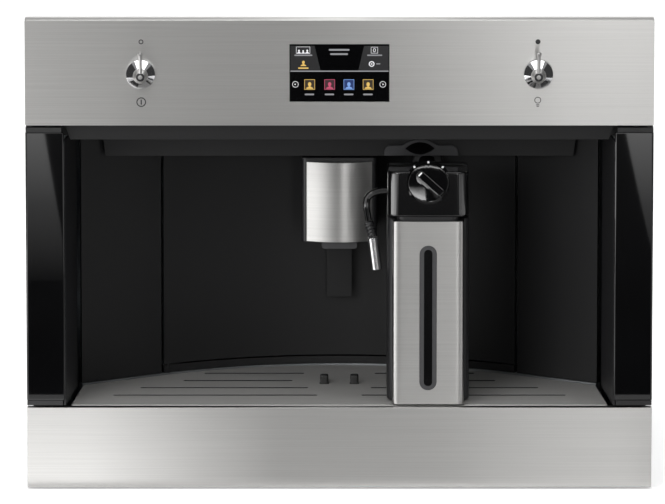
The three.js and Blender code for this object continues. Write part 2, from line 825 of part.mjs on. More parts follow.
// Ceiling of the niche, the face that drops from it, and the underside that runs back from there.
function dispenserHeader() {
  const back = arcDepth + 30;
  const roofHalf = nicheHalf - 6;
  const roof = block(-roofHalf, roofHalf, trayFront + moulding + fit, back,
    ceiling, ceiling + moulding);
  const footHalf = headerHalf - headerSlope;
  const drop = prism(polygon([
    [-headerHalf, ceiling + 1], [-footHalf, headerBottom], [footHalf, headerBottom],
    [headerHalf, ceiling + 1],
  ]), 'xz', headerFace, headerFace + moulding);
  const shoulder = arcCorner - 1;
  const underside = prism(polygon([
    [-footHalf, headerFace], [footHalf, headerFace], [arcHalf, shoulder],
    [arcHalf - 4, back], [-arcHalf + 4, back], [-arcHalf, shoulder],
  ]), 'xy', headerBottom, headerBottom + moulding);
  const eye = prism(dockEye(dockX, dockZ, eyeWidth, eyeHeight), 'xz',
    headerFace - 1, headerFace + moulding + 1, { steps: 6 });
  const pivot = rod(pivotHole, headerBottom - 1, headerBottom + moulding + 1)
    .translate([hingeX, hingeDepth, 0]);
  const lamps = [-1, 1].map((sign) => rod(lampRadius + fit, ceiling - 1, ceiling + moulding + 1, 'z', 20)
    .translate([sign * lampSpacing / 2, lampDepth, 0]));
  return part('dispenser_header', cut(joined(roof, drop, underside), eye, pivot, ...lamps),
    satinBlack);
}

// Strip under the control fascia, with a top flange that reaches back to the frame.
function valance() {
  const half = nicheHalf - 0.6;
  const face = prism(polygon([
    [-half, valanceTop], [-half + headerSlope, ceiling], [half - headerSlope, ceiling],
    [half, valanceTop],
  ]), 'xz', trayFront, trayFront + moulding);
  const flange = block(-half, half, trayFront, frameFront - fit, valanceTop - moulding, valanceTop);
  return part('valance', joined(face, flange), satinBlack);
}

// Raised bezel above the carafe: round shoulders, a hump in the middle and an eye-shaped opening.
function dockBezel() {
  const z0 = headerBottom + 0.8;
  const z1 = z0 + bezelHeight;
  const left = carafeX - carafeHalf - 2.2;
  const right = carafeX + carafeHalf - 9.6;
  const hump = 17;
  const shape = new THREE.Shape();
  shape.moveTo(left, z0);
  shape.lineTo(right, z0);
  shape.quadraticCurveTo(right, z1, right - 8, z1);
  shape.lineTo(dockX + hump, z1);
  shape.quadraticCurveTo(dockX, z1 + 12, dockX - hump, z1);
  shape.lineTo(left + 6, z1);
  shape.quadraticCurveTo(left, z1, left, z0);
  const back = headerFace - fit;
  const plate = prism(shape, 'xz', back - bezelThickness, back, { steps: 8 });
  const eye = prism(dockEye(dockX, dockZ, eyeWidth, eyeHeight), 'xz', back - bezelThickness - 1,
    back + 1, { steps: 6 });
  return part('dock_bezel', cut(plate, eye), darkGrey);
}

// Lamps in the ceiling, each with a rim under it.
function lamps() {
  const rim = lampRadius + 2;
  return sides.map(({ name, sign }) => {
    const lens = turned([
      [0, -4], [lampRadius - 3, -3.6], [rim, -2], [rim, -fit], [lampRadius, -fit],
      [lampRadius, 8], [0, 8],
    ], 'z', 16);
    return part(`niche_lamp_${name}`, lens, warmLens, [sign * lampSpacing / 2, lampDepth, ceiling]);
  });
}

// ---------------------------------------------------------------- service door and spout

// T-shaped guide for the spout, as a plan outline, grown by the clearance where given.
function guideOutline(clearance) {
  const head = guideHead / 2 + clearance;
  const web = guideWeb / 2 + clearance;
  const front = arcCentre + doorFace - guideDepth - clearance;
  const neck = front + guideFlange + 2 * clearance;
  const back = arcCentre + doorFace + 1;
  return polygon([
    [-head, front], [head, front], [head, neck], [web, neck],
    [web, back], [-web, back], [-web, neck], [-head, neck],
  ]);
}

// Curved door with a guide for the spout, a boss for the nozzle, stiffening flanges and two pivots.
function serviceDoor() {
  const turnEnd = jointAngle - doorGap / arcRadius;
  const shell = new THREE.Shape();
  const start = Math.PI / 2;
  shell.absarc(0, arcCentre, doorBack, start - turnEnd, start + turnEnd, false);
  shell.absarc(0, arcCentre, doorFace, start + turnEnd, start - turnEnd, true);
  const plate = prism(shell, 'xy', doorBottom, doorTop, { steps: 14 });
  const ribShape = new THREE.Shape();
  const ribEnd = turnEnd - 0.06;
  ribShape.absarc(0, arcCentre, doorBack + ribDepth, start - ribEnd, start + ribEnd, false);
  ribShape.absarc(0, arcCentre, doorFace + 1, start + ribEnd, start - ribEnd, true);
  const ribs = [doorBottom + 1, (doorBottom + doorTop) / 2, doorTop - moulding - 1].map((z) => (
    prism(ribShape, 'xy', z, z + moulding, { steps: 6 })
  ));
  const guide = prism(guideOutline(0), 'xy', guideFoot, doorTop);
  const boss = rod(seatRadius, -(arcCentre + doorFace), -(nozzleSeat() + fit), 'front', 16)
    .translate([carafeX, 0, nozzleZ]);
  const niche = prism(innerNiche(), 'xy', nozzleZ - 2 * seatRadius, nozzleZ + 2 * seatRadius,
    { steps: 16 });
  const pad = boss.intersect(niche);
  const pivots = [
    rod(pivotRadius, nicheFloor - 4, doorBottom + 6),
    rod(pivotRadius, doorTop - 6, doorTop + slack + moulding - 0.5),
  ].map((pin) => pin.translate([hingeX, hingeDepth, 0]));
  const bore = rod(3, -machineDepth, 0, 'front').translate([carafeX, 0, nozzleZ]);
  const body = cut(joined(plate, ...ribs, guide, pad), bore);
  return part('service_door', joined(body, ...pivots), glossBlack);
}

// Fixed sill under the door, bored for the door's lower pivot.
function nicheSill() {
  const turnEnd = jointAngle - doorGap / arcRadius;
  const shape = new THREE.Shape();
  const start = Math.PI / 2;
  shape.absarc(0, arcCentre, doorBack + 3, start - turnEnd, start + turnEnd, false);
  shape.absarc(0, arcCentre, doorFace, start + turnEnd, start - turnEnd, true);
  const strip = prism(shape, 'xy', nicheFloor, nicheFloor + sillHeight, { steps: 12 });
  const pocket = rod(pivotHole, 0, doorBottom).translate([hingeX, hingeDepth, 0]);
  return part('niche_sill', cut(strip, pocket), glossBlack);
}

// Plan area in front of the middle of the door's wall.
function innerNiche() {
  const shape = new THREE.Shape();
  shape.absarc(0, arcCentre, doorFace + panelThickness / 2, 0, 2 * Math.PI, false);
  return shape;
}

// Depth of the seat that the nozzle's flange rests on.
function nozzleSeat() {
  const reach = carafeX + seatRadius;
  return arcCentre + Math.sqrt(doorFace ** 2 - reach ** 2) - panelThickness;
}

// Outline with a convex front, in plan: the middle of the front stands ahead of its two edges.
function bowedFront(half, front, edge, back) {
  const shape = new THREE.Shape();
  shape.moveTo(-half, back);
  shape.lineTo(-half, edge);
  shape.quadraticCurveTo(0, 2 * front - edge, half, edge);
  shape.lineTo(half, back);
  return shape;
}

// Slide body with a nose that fills the cover and a T-shaped slot that runs on the door's guide.
function spoutBody() {
  const z0 = spoutBottom;
  const housing = prism(roundedRectangle(-spoutHalf, spoutHalf, spoutEdge + 1, spoutBack, 5), 'xy',
    z0, spoutTop, { steps: 3, round: 1 });
  const nose = prism(bowedFront(spoutCoverHalf - sheet - fit, spoutFront + sheet + fit,
    spoutEdge + sheet, spoutEdge + 12), 'xy', z0 + 4, z0 + spoutCoverHeight - 2);
  const slot = prism(guideOutline(0.4), 'xy', z0 - 5, spoutTop + 5);
  return cut(joined(housing, nose), slot);
}

// Curved steel cover with side returns, open at the back.
function spoutCover() {
  const z0 = spoutBottom + 1.2;
  const z1 = z0 + spoutCoverHeight;
  const outer = prism(bowedFront(spoutCoverHalf, spoutFront, spoutEdge, spoutEdge + 0.7), 'xy', z0, z1,
    { steps: 8 });
  const inner = prism(bowedFront(spoutCoverHalf - sheet, spoutFront + sheet, spoutEdge + sheet,
    spoutEdge + 5), 'xy', z0 + sheet, z1 - sheet, { steps: 8 });
  return cut(outer, inner);
}

// Outlet block with two coffee outlets.
function spoutOutlet() {
  const z1 = spoutBottom - fit;
  const z0 = z1 - outletHeight;
  const shape = new THREE.Shape();
  shape.moveTo(-outletHalf, z1);
  shape.lineTo(-outletHalf, z0 + 3);
  shape.quadraticCurveTo(-outletHalf, z0, -outletHalf + 3, z0);
  shape.lineTo(outletHalf - 3, z0);
  shape.quadraticCurveTo(outletHalf, z0, outletHalf, z0 + 3);
  shape.lineTo(outletHalf, z1);
  const lump = prism(shape, 'xz', spoutEdge + 6, spoutEdge + 40, { steps: 3 });
  const bores = [-1, 1].map((sign) => rod(3, z0 - 5, z1 + 5, 'z', 12)
    .translate([sign * outletSpacing / 2, spoutEdge + 22, 0]));
  return cut(lump, ...bores);
}

// Tube that the carafe plugs on to: a flange at the door, two grooves at the tip and a bore.
function steamNozzle() {
  const flange = -nozzleSeat();
  const tip = -(carafeRear - socketDepth + 1);
  const groove = nozzleRadius - 1;
  const profile = [
    [2, tip], [2, flange], [14, flange], [14, flange + 4], [nozzleRadius, flange + 6],
    [nozzleRadius, tip - 7], [groove, tip - 7], [groove, tip - 5], [nozzleRadius, tip - 5],
    [nozzleRadius, tip - 1], [nozzleRadius - 1, tip], [2, tip],
  ];
  return turned(profile, 'front', 12).translate([carafeX, 0, nozzleZ]);
}

function doorAssembly() {
  return [
    serviceDoor(),
    part('steam_nozzle', steamNozzle(), castMetal),
    part('spout_body', spoutBody(), satinBlack),
    part('spout_cover', spoutCover(), brushedSteel),
    part('spout_outlet', spoutOutlet(), darkGrey),
  ];
}

// ---------------------------------------------------------------- milk carafe

// Front outline of the jug and its cover: square at the top, round at the bottom corners.
function jugFront(half, z0, z1, radius) {
  const shape = new THREE.Shape();
  shape.moveTo(-half, z1);
  shape.lineTo(-half, z0 + radius);
  shape.quadraticCurveTo(-half, z0, -half + radius, z0);
  shape.lineTo(half - radius, z0);
  shape.quadraticCurveTo(half, z0, half, z0 + radius);
  shape.lineTo(half, z1);
  return prism(shape, 'xz', 0, machineDepth, { steps: 4 });
}

// Black jug, open at the top, with a narrower nose that the steel cover goes round.
function carafeBody() {
  const jug = prism(roundedRectangle(-carafeHalf, carafeHalf, noseBack + fit, carafeRear, 11),
    'xy', nicheFloor, carafeTop, { steps: 2, round: 2 });
  const noseHalf = coverHalf - coverThickness - fit;
  const noseFront = carafeFront + coverThickness + fit;
  const nose = prism(roundedRectangle(-noseHalf, noseHalf, noseFront, noseBack + 20, 9), 'xy',
    nicheFloor, carafeTop, { steps: 4 });
  const outside = joined(jug, nose.intersect(jugFront(noseHalf, nicheFloor + 0.8, carafeTop + 1, 9)));
  const cavity = prism(roundedRectangle(-noseHalf + carafeWall, noseHalf - carafeWall,
    noseFront + carafeWall, carafeRear - carafeWall, 8), 'xy', nicheFloor + 2 * moulding,
  carafeTop + 5, { steps: 4 });
  return cut(outside, cavity);
}

// Brushed steel shell round the nose, with the slot that shows how full the jug is.
function carafeCover() {
  const outer = prism(roundedRectangle(-coverHalf, coverHalf, carafeFront, noseBack + 20, 10), 'xy',
    nicheFloor, carafeTop - 0.4, { steps: 6 });
  const inner = prism(roundedRectangle(-coverHalf + coverThickness, coverHalf - coverThickness,
    carafeFront + coverThickness, noseBack + 21, 10 - coverThickness), 'xy',
  nicheFloor - 1, carafeTop + 1, { steps: 6 });
  const front = jugFront(coverHalf, nicheFloor, carafeTop + 1, 10);
  const trim = block(-99, 99, noseBack, noseBack + 99, 0, 999);
  const slot = prism(stadium(0, windowBottom + windowHeight / 2, windowWidth, windowHeight), 'xz',
    -5, carafeFront + 5);
  return cut(cut(outer, inner).intersect(front), trim, slot);
}

// Strip with round ends in the cover's slot, grooved along its middle.
function carafeWindow() {
  const z = windowBottom + windowHeight / 2;
  const strip = prism(stadium(0, z, windowWidth - 2 * fit, windowHeight - 2 * fit), 'xz',
    carafeFront + 0.2, carafeFront + coverThickness, { steps: 4 });
  const groove = prism(stadium(0, z, windowSlot, windowHeight - windowSlot), 'xz', 0,
    carafeFront + 0.7, { steps: 3 });
  return cut(strip, groove);
}

// Places a piece made about +Z on the tilted seat of the froth dial.
function onDialSeat(body) {
  return body.rotate([90 - THREE.MathUtils.radToDeg(dialTilt), 0, 0])
    .translate([0, dialDepth, dialZ]);
}

// Lid with its plug, a tilted collar for the dial, a socket for the nozzle and the pipe's outlet.
function carafeLid() {
  const z0 = lidBottom;
  const cap = prism(roundedRectangle(-carafeHalf + 0.2, carafeHalf - 0.2, 10, carafeRear, 9), 'xy',
    z0, lidTop, { steps: 2, round: 2 });
  const noseHalf = coverHalf - coverThickness - fit - carafeWall - fit;
  const plug = prism(roundedRectangle(-noseHalf, noseHalf,
    carafeFront + coverThickness + carafeWall + 2 * fit, carafeRear - carafeWall - fit, 8), 'xy',
  carafeTop - plugDepth, z0 + 3, { steps: 4 });
  const collar = onDialSeat(rod(dialRadius + 3.2, -20, -1.5, 'z', 18));
  const recess = onDialSeat(rod(dialRadius + 0.8, -8, 40, 'z', 18));
  const well = onDialSeat(rod(stemRadius + doorGap, -18, 1, 'z', 8));
  const keep = block(-carafeHalf, carafeHalf, 2, 60, z0 + 4, lidTop + 8);
  const socket = rod(nozzleRadius + doorGap, -carafeRear - 5, -carafeRear + socketDepth, 'front')
    .translate([0, 0, nozzleZ]);
  const outlet = rod(pipeRadius + doorGap, -carafeHalf - 5, -carafeHalf + 8, 'x', 10)
    .translate([0, pipeDepth, pipeZ]);
  const body = joined(cap, plug, collar.intersect(keep));
  return cut(body, recess, well, socket, outlet);
}

// Round dial with a raised bar across it and a stem that turns in the lid.
function frothDial() {
  const disc = turned([
    [0, -7.7], [dialRadius - 1, -7.7], [dialRadius, -6.7], [dialRadius, -1], [dialRadius - 1, 0],
    [0, 0],
  ], 'z', 20);
  const stem = rod(stemRadius, -16, -7, 'z', 8);
  const bar = prism(roundedRectangle(-4, 4, -dialRadius + 0.6, dialRadius - 0.6, 2), 'xy', -1, 8,
    { steps: 2, round: 1 }).rotate([0, 0, THREE.MathUtils.radToDeg(dialTurn) + 90]);
  return onDialSeat(joined(disc, stem, bar));
}

// Places along the milk pipe, the nut and the sleeve, measured from the middle of the carafe.
const pipeX = -carafeHalf - pipeReach;
const pipeFoot = pipeZ - 29.5;
const pipeRoute = [
  [-carafeHalf + 7, pipeDepth, pipeZ],
  [-carafeHalf - 3, pipeDepth, pipeZ],
  [pipeX + 7.4, pipeDepth, pipeZ - 2],
  [pipeX + 1.2, pipeDepth, pipeZ - 7],
  [pipeX, pipeDepth, pipeZ - 14],
  [pipeX + 2.2, pipeDepth, pipeFoot],
];
const nutTop = [pipeX + 2.3, pipeDepth, pipeFoot - 0.5];
const sleeveTop = [nutTop[0] + sleeveLean / 2, pipeDepth, nutTop[2] - nutLength];
const sleeveFoot = [sleeveTop[0] + sleeveLean / 2, pipeDepth, sleeveTop[2] - sleeveLength];

// Round piece turned about the line between two points, its profile running from the first one.
function turnedAlong(from, to, profile, turnSides = 20) {
  const start = new THREE.Vector3(...from);
  const direction = new THREE.Vector3(...to).sub(start);
  const geometry = new THREE.LatheGeometry(
    profile.map(([radius, height]) => new THREE.Vector2(radius, height)), turnSides);
  const turn = new THREE.Quaternion().setFromUnitVectors(alongY, direction.clone().normalize());
  geometry.applyQuaternion(turn);
  geometry.translate(start.x, start.y, start.z);
  return solid(geometry);
}

function distance(a, b) {
  return new THREE.Vector3(...a).distanceTo(new THREE.Vector3(...b));
}

// Ribbed collar between the pipe and its sleeve.
function pipeNut() {
  const length = distance(nutTop, sleeveTop) - 1;
  const profile = [[0, fit], [4.4, fit], [4.4, 2]];
  const ribs = 4;
  const pitch = (length - 2) / ribs;
  for (let i = 0; i < ribs; i += 1) {
    const y = 2 + i * pitch;
    profile.push([4.9, y + pitch * 0.2], [4.9, y + pitch * 0.6], [4.1, y + pitch * 0.8]);
  }
  profile.push([4.1, length], [0, length]);
  return turnedAlong(nutTop, sleeveTop, profile, 12);
}

// Open chrome sleeve at the end of the pipe.
function pipeSleeve() {
  const length = distance(sleeveTop, sleeveFoot);
  const edge = sleeveRadius - 0.5;
  const bore = sleeveRadius - 1.6;
  return turnedAlong(sleeveTop, sleeveFoot, [
    [0, 0], [edge, 0], [sleeveRadius, 0.5], [sleeveRadius, length - 0.5], [edge, length],
    [bore, length], [bore, length / 2], [0, length / 2],
  ], 16);
}

// Tube from the lid to the bottom of the jug.
function intakeTube() {
  const top = carafeTop - plugDepth - fit;
  const foot = nicheFloor + 2 * moulding + 6;
  const [bore, outside] = [2.2, pipeRadius];
  return turned([[bore, foot], [outside, foot], [outside, top], [bore, top], [bore, foot]], 'z', 12)
    .translate([0, carafeRear - 24, 0]);
}

function carafe() {
  const group = assembly(
    part('carafe_body', carafeBody(), satinBlack),
    part('carafe_cover', carafeCover(), brushedSteel),
    part('carafe_window', carafeWindow(), darkGrey),
    part('carafe_lid', carafeLid(), glossBlack),
    part('froth_dial', frothDial(), glossBlack),
    part('milk_pipe', pipe(pipeRoute, pipeRadius, 10, 14), glossBlack),
    part('pipe_nut', pipeNut(), satinBlack),
    part('pipe_sleeve', pipeSleeve(), polishedChrome),
    part('intake_tube', intakeTube(), clearPlastic),
  );
  group.position.x = carafeX;
  return group;
}

// ---------------------------------------------------------------- drip drawer

function lowerFascia() {
  return part('lower_fascia', foldedPanel(frontLift, lowerTop, lowerReturn), brushedSteel);
}

// Half of the tray's width at a depth: straight side, slanted flank or arc.
function trayHalfAt(depth) {
  if (depth < trayCornerDepth) {
    const run = (depth - trayFront) / (trayCornerDepth - trayFront);
    return trayFrontHalf + run * (trayCornerHalf - trayFrontHalf);
  }
  if (depth < arcCorner) {
    const run = (depth - trayCornerDepth) / (arcCorner - trayCornerDepth);
    return trayCornerHalf + run * (arcHalf - trayCornerHalf);
  }
  return Math.sqrt(arcRadius ** 2 - (depth - arcCentre) ** 2);
}

// Plan outline of the tray, drawn in by the same amount all round.
function trayOutline(inset) {
  const back = trayBackLine(-inset, 14);
  return polygon([
    [trayFrontHalf - inset, trayFront + inset],
    ...back.slice().reverse(),
    [-trayFrontHalf + inset, trayFront + inset],
  ]);
}

// Slotted steel grid with a rim turned down all round and two holes for the float's pegs.
function cupGrid() {
  const top = lowerTop;
  const plate = prism(trayOutline(0), 'xy', top - gridRim, top);
  const under = prism(trayOutline(sheet), 'xy', top - gridRim - 1, top - gridThickness);
  const slots = slotRows.flatMap(({ depth, near, margin }) => [-1, 1].map((sign) => {
    const far = trayHalfAt(depth) - margin;
    return prism(stadium(sign * (near + far) / 2, depth, far - near, slotWidth), 'xy',
      top - gridRim, top + 1, { steps: 2 });
  }));
  const pegs = [-1, 1].map((sign) => rod(pegRadius + fit, top - gridRim, top + 1)
    .translate([sign * pegSpacing / 2, pegDepth, 0]));
  return part('cup_grid', cut(plate, under, ...slots, ...pegs), brushedSteel);
}

// Basin under the grid, its runners, and the tongue that carries the grounds container.
function dripTray() {
  const rim = lowerTop - gridThickness - fit;
  const inset = sheet + fit;
  const outer = prism(trayOutline(inset), 'xy', trayFloor, rim);
  const inner = prism(trayOutline(inset + moulding), 'xy', trayFloor + moulding, rim + 1);
  const tongueFront = arcDepth - 12;
  const bosses = [-1, 1].map((sign) => block(...span(sign, 140, 170), sheet + fit, trayFront + 4,
    trayFloor, trayFloor + 26));
  const tongue = block(-tongueHalf, tongueHalf, tongueFront, tongueBack,
    trayFloor, trayFloor + moulding);
  const lips = [-1, 1].map((sign) => block(...span(sign, tongueHalf - moulding, tongueHalf),
    tongueFront, tongueBack, trayFloor, trayFloor + lipHeight));
  const runner = (sign, x, y0, y1) => block(...span(sign, x - runnerWidth, x), y0, y1,
    baseTop + fit, trayFloor + 1);
  const runners = [-1, 1].flatMap((sign) => [
    runner(sign, tongueHalf - runnerWidth, 40, tongueBack),
    runner(sign, trayCornerHalf - 43, 40, arcCorner - 32),
  ]);
  return part('drip_tray', cut(joined(outer, ...bosses, tongue, ...lips, ...runners), inner),
    satinBlack);
}

// Float in the tray with two pegs that come up through the grid.
function levelFloat() {
  const top = lowerTop + pegRise;
  const foot = trayFloor + moulding + fit;
  const deck = foot + raftHeight;
  const raft = prism(roundedRectangle(-pegSpacing, pegSpacing, pegDepth - raftLength / 2,
    pegDepth + raftLength / 2, 8), 'xy', foot, deck, { steps: 3 });
  const peg = turned([
    [0, deck - 4], [pegRadius, deck - 4], [pegRadius, top - 1.6], [pegRadius - 1.4, top - 0.3],
    [0, top],
  ], 'z', 12);
  const pegs = [-1, 1].map((sign) => peg.translate([sign * pegSpacing / 2, pegDepth, 0]));
  return part('level_float', joined(raft, ...pegs), satinBlack);
}

// Open box that catches the spent coffee, on the tongue behind the tray.
function groundsContainer() {
  const z0 = trayFloor + moulding + fit;
  const z1 = z0 + containerHeight;
  const y = tongueBack - tongueMargin - containerLength / 2;
  const outer = tapered(0, y, containerWidth, containerLength, z0, z1, containerDraft);
  const inner = tapered(0, y, containerWidth - 2 * moulding, containerLength - 2 * moulding,
    z0 + moulding, z1 + 1, containerDraft);
  return part('grounds_container', cut(outer, inner), smokedPlastic);
}

function dripDrawer() {
  return [lowerFascia(), cupGrid(), dripTray(), levelFloat(), groundsContainer()];
}

// ---------------------------------------------------------------- works behind the door

// Bean hopper: a funnel with a flat rim that hangs under the top cover.
function beanHopper() {
  const outer = tapered(stackX, stackDepth, hopperWidth, hopperLength, hopperFoot, hopperTop,
    hopperTaper);
  const inner = tapered(stackX, stackDepth, hopperWidth - 2 * hopperWall,
    hopperLength - 2 * hopperWall, hopperFoot + hopperWall, hopperTop + 1, hopperTaper);
  const outlet = rod(throatRadius, hopperFoot - 1, hopperFoot + 2 * hopperWall, 'z', 16)
    .translate([stackX, stackDepth, 0]);
  return part('bean_hopper', cut(outer, inner, outlet), smokedPlastic);
}

// Grinder: motor housing, burr chamber with its adjusting ring, and the throat under the hopper.
function grinder() {
  const r = grinderRadius;
  const body = turned([
    [0, 0], [r - 12, 0], [r - 8, 4], [r - 8, 48], [r - 2, 52], [r - 2, 60], [r, 61], [r, 71],
    [r - 3, 72], [r - 3, grinderHeight - 6], [throatRadius + 3, grinderHeight],
    [throatRadius - 2, grinderHeight], [throatRadius - 2, grinderHeight - 16],
    [0, grinderHeight - 16],
  ], 'z', 16);
  const teeth = [];
  const toothCount = 8;
  for (let i = 0; i < toothCount; i += 1) {
    const turn = (i / toothCount) * 2 * Math.PI;
    teeth.push(rod(2, 60, 72, 'z', 6)
      .translate([(r + 1.2) * Math.cos(turn), (r + 1.2) * Math.sin(turn), 0]));
  }
  const chute = block(-9, 9, -r - 8, -r + 16, 40, 58);
  return part('grinder', cut(joined(body, chute), ...teeth), castMetal,
    [stackX, stackDepth, grinderFoot]);
}

// Brew unit: frame with side cheeks, the tilting brew chamber and the upper piston.
function infuser() {
  const half = infuserWidth / 2;
  const length = infuserLength / 2;
  const height = infuserTop - infuserFoot;
  const frame = block(-half, half, -length, length, 0, 12);
  const cheeks = [-1, 1].map((sign) => prism(polygon([
    [-length, 0], [length, 0], [length, height * 0.55], [length * 0.4, height],
    [-length * 0.4, height], [-length, height * 0.7],
  ]), 'yz', ...span(sign, half - 6, half)));
  const opening = block(-24, 24, -length + 14, -length + 60, -5, 20);
  const chamber = turned([[0, 0], [24, 0], [24, 46], [26, 48], [26, 54], [20, 54], [20, 30], [0, 30]],
    'z', 14).translate([0, 22, 11]);
  const piston = turned([[0, 0], [19, 0], [19, 12], [9, 14], [9, 30], [0, 30]], 'z', 12)
    .translate([0, 22, height - 31]);
  const bridge = block(-half + 1, half - 1, 10, 34, height - 10, height - 1);
  return part('infuser', joined(cut(joined(frame, ...cheeks), opening), chamber, piston, bridge),
    satinBlack, [stackX, stackDepth, infuserFoot]);
}

// Bracket on the floor that holds the brew unit: two uprights with a ledge each.
function brewBracket() {
  const ledge = infuserWidth / 2 - 8;
  const out = tongueHalf + bracketGap;
  const front = stackDepth - 40;
  const back = stackDepth + infuserLength / 2 + 8;
  const uprights = [-1, 1].map((sign) => block(
    ...span(sign, out - bracketSheet, out), front, back, baseTop + fit, infuserFoot + 20,
  ));
  const ledges = [-1, 1].map((sign) => block(
    ...span(sign, ledge, out), front, back, infuserFoot - fit - bracketSheet, infuserFoot - fit,
  ));
  const bridge = block(-out, out, back - bracketSheet, back, baseTop + 60, infuserFoot + 60);
  return part('brew_bracket', joined(...uprights, ...ledges, bridge), zincSteel, [stackX, 0, 0]);
}

// Boiler: a domed cylinder on three legs, with two unions on its top.
function boiler() {
  const r = boilerRadius;
  const h = boilerHeight;
  const lift = boilerLift;
  const shell = turned([
    [0, lift - 10], [r - 14, lift - 6], [r - 4, lift - 1], [r, lift + 6], [r, lift + h / 2 - 3],
    [r + 5, lift + h / 2 - 3], [r + 5, lift + h / 2 + 3], [r, lift + h / 2 + 3], [r, lift + h - 6],
    [r - 4, lift + h + 1], [r - 14, lift + h + 6], [0, lift + h + 10],
  ], 'z', 16);
  const unions = [-14, 14].map((x) => turned([
    [0, 0], [6, 0], [6, 12], [3.5, 12], [3.5, 24], [0, 24],
  ], 'z', 8).translate([x, 0, lift + h + 2]));
  const legs = [0, 1, 2].map((i) => {
    const turn = (i / 3) * 2 * Math.PI + 0.5;
    return rod(4, 0, lift + 14, 'z', 6)
      .translate([(r - 5) * Math.cos(turn), (r - 5) * Math.sin(turn), 0]);
  });
  return part('boiler', joined(shell, ...unions, ...legs), castMetal,
    [bodyHalf - boilerInset, boilerDepth, baseTop + fit]);
}

// Vibration pump: solenoid body between two end frames on a foot, with its outlet.
function waterPump() {
  const r = pumpRadius;
  const coil = turned([
    [0, 0], [9, 0], [9, 14], [r, 14], [r, 50], [10, 50], [10, 66], [5, 68], [5, 82], [0, 82],
  ], 'x', 14).translate([-41, 0, r + 12]);
  const frame = [-1, 1].map((sign) => block(...span(sign, 15, 18), -r - 2, r + 2, 0, 2 * r + 12)
    .translate([-9, 0, 0]));
  const foot = block(-30, 12, -r - 2, r + 2, 0, 5);
  return part('water_pump', joined(coil, ...frame, foot), castMetal,
    [bodyHalf - pumpInset, pumpDepth, baseTop + fit]);
}

// Tall removable tank with an open top, a drawn-in foot and a bar handle across its mouth.
function waterTank() {
  const z0 = baseTop + fit;
  const z1 = coverTop;
  const w = tankWidth / 2;
  const l = tankLength / 2;
  const shell = cut(
    prism(roundedRectangle(-w, w, -l, l, 8), 'xy', z0, z1, { steps: 2, round: 2 }),
    prism(roundedRectangle(-w + moulding, w - moulding, -l + moulding, l - moulding, 6), 'xy',
      z0 + moulding + 1, z1 + 5, { steps: 2 }),
  );
  const handle = block(-w + 1, w - 1, -8, 8, z1 - 8, z1 - 3);
  return part('water_tank', joined(shell, handle), clearPlastic, [tankX, tankDepth, 0]);
}

// Flat lid on the top cover with a hinge barrel at its rear edge and a lip at its front.
function topLid(name, x, y, width, length) {
  const z0 = coverTop + fit;
  const plate = prism(roundedRectangle(-width / 2, width / 2, -length / 2, length / 2, 4), 'xy',
    z0, z0 + lidThickness, { steps: 3 });
  const barrel = rod(lidThickness / 2, -width / 2 + 8, width / 2 - 8, 'x', 12)
    .translate([0, length / 2, z0 + lidThickness / 2]);
  return part(name, joined(plate, barrel), satinBlack, [x, y, 0]);
}

function works() {
  return [
    beanHopper(), grinder(), infuser(), brewBracket(), boiler(), waterPump(), waterTank(),
    topLid('hopper_lid', stackX, stackDepth, hopperWidth + 4, hopperLength + 4),
    topLid('funnel_lid', funnelX, funnelDepth, funnelSize + 4, funnelSize + 4),
  ];
}

// ---------------------------------------------------------------- machine

const machine = assembly(
  rails(),
  chassisBase(), sidePanels(), rearPanel(), mainsInlet(), topCover(), frontFrame(),
  controlFascia(), pillarGlasses(), displayGlass(), controlBoard(), controls(),
  nicheWalls(), backPanels(), nicheSill(), dispenserHeader(), valance(), dockBezel(), lamps(),
  doorAssembly(), carafe(), dripDrawer(), works(),
);
machine.name = 'built_in_coffee_machine';
machine.position.y = frontPlane;

export default machine;
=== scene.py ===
"""Built-in coffee machine: its finishes and fine surfaces, laid out as a Blender add-on run as a script."""

import json
from math import cos, pi, radians, sin

import bpy
from mathutils import Matrix, Vector

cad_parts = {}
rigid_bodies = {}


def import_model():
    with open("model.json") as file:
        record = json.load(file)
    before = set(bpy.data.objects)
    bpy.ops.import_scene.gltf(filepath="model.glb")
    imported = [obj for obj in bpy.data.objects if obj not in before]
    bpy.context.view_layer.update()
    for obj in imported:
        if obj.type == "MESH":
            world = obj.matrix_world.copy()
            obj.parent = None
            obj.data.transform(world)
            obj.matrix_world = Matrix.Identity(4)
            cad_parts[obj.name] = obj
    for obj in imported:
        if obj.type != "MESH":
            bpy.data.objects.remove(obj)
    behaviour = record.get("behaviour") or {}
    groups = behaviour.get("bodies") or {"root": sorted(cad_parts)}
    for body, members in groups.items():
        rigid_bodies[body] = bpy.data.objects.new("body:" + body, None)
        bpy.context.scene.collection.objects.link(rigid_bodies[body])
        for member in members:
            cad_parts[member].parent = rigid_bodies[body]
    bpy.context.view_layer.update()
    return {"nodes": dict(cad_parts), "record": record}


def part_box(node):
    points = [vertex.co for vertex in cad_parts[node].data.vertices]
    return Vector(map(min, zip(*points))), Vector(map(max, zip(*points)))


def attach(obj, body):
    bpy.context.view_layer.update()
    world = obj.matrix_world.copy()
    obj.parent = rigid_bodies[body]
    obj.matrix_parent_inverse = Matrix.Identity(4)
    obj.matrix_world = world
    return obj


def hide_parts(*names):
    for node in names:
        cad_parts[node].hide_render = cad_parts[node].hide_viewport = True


bl_info = {
    "name": "Built-in coffee machine",
    "version": (1, 0, 0),
    "blender": (4, 5, 0),
    "location": "3D View > Sidebar > Machine",
    "description": "Models and finishes a built-in coffee machine around its packed frame",
    "category": "Object",
}

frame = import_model()

MM = 0.001
RECORD = frame["record"]
BODY_OF = {node: body for body, nodes in RECORD["behaviour"]["bodies"].items() for node in nodes}
SLOT_OF = {part["node"]: part["material_slot"] for part in RECORD["subparts"]}

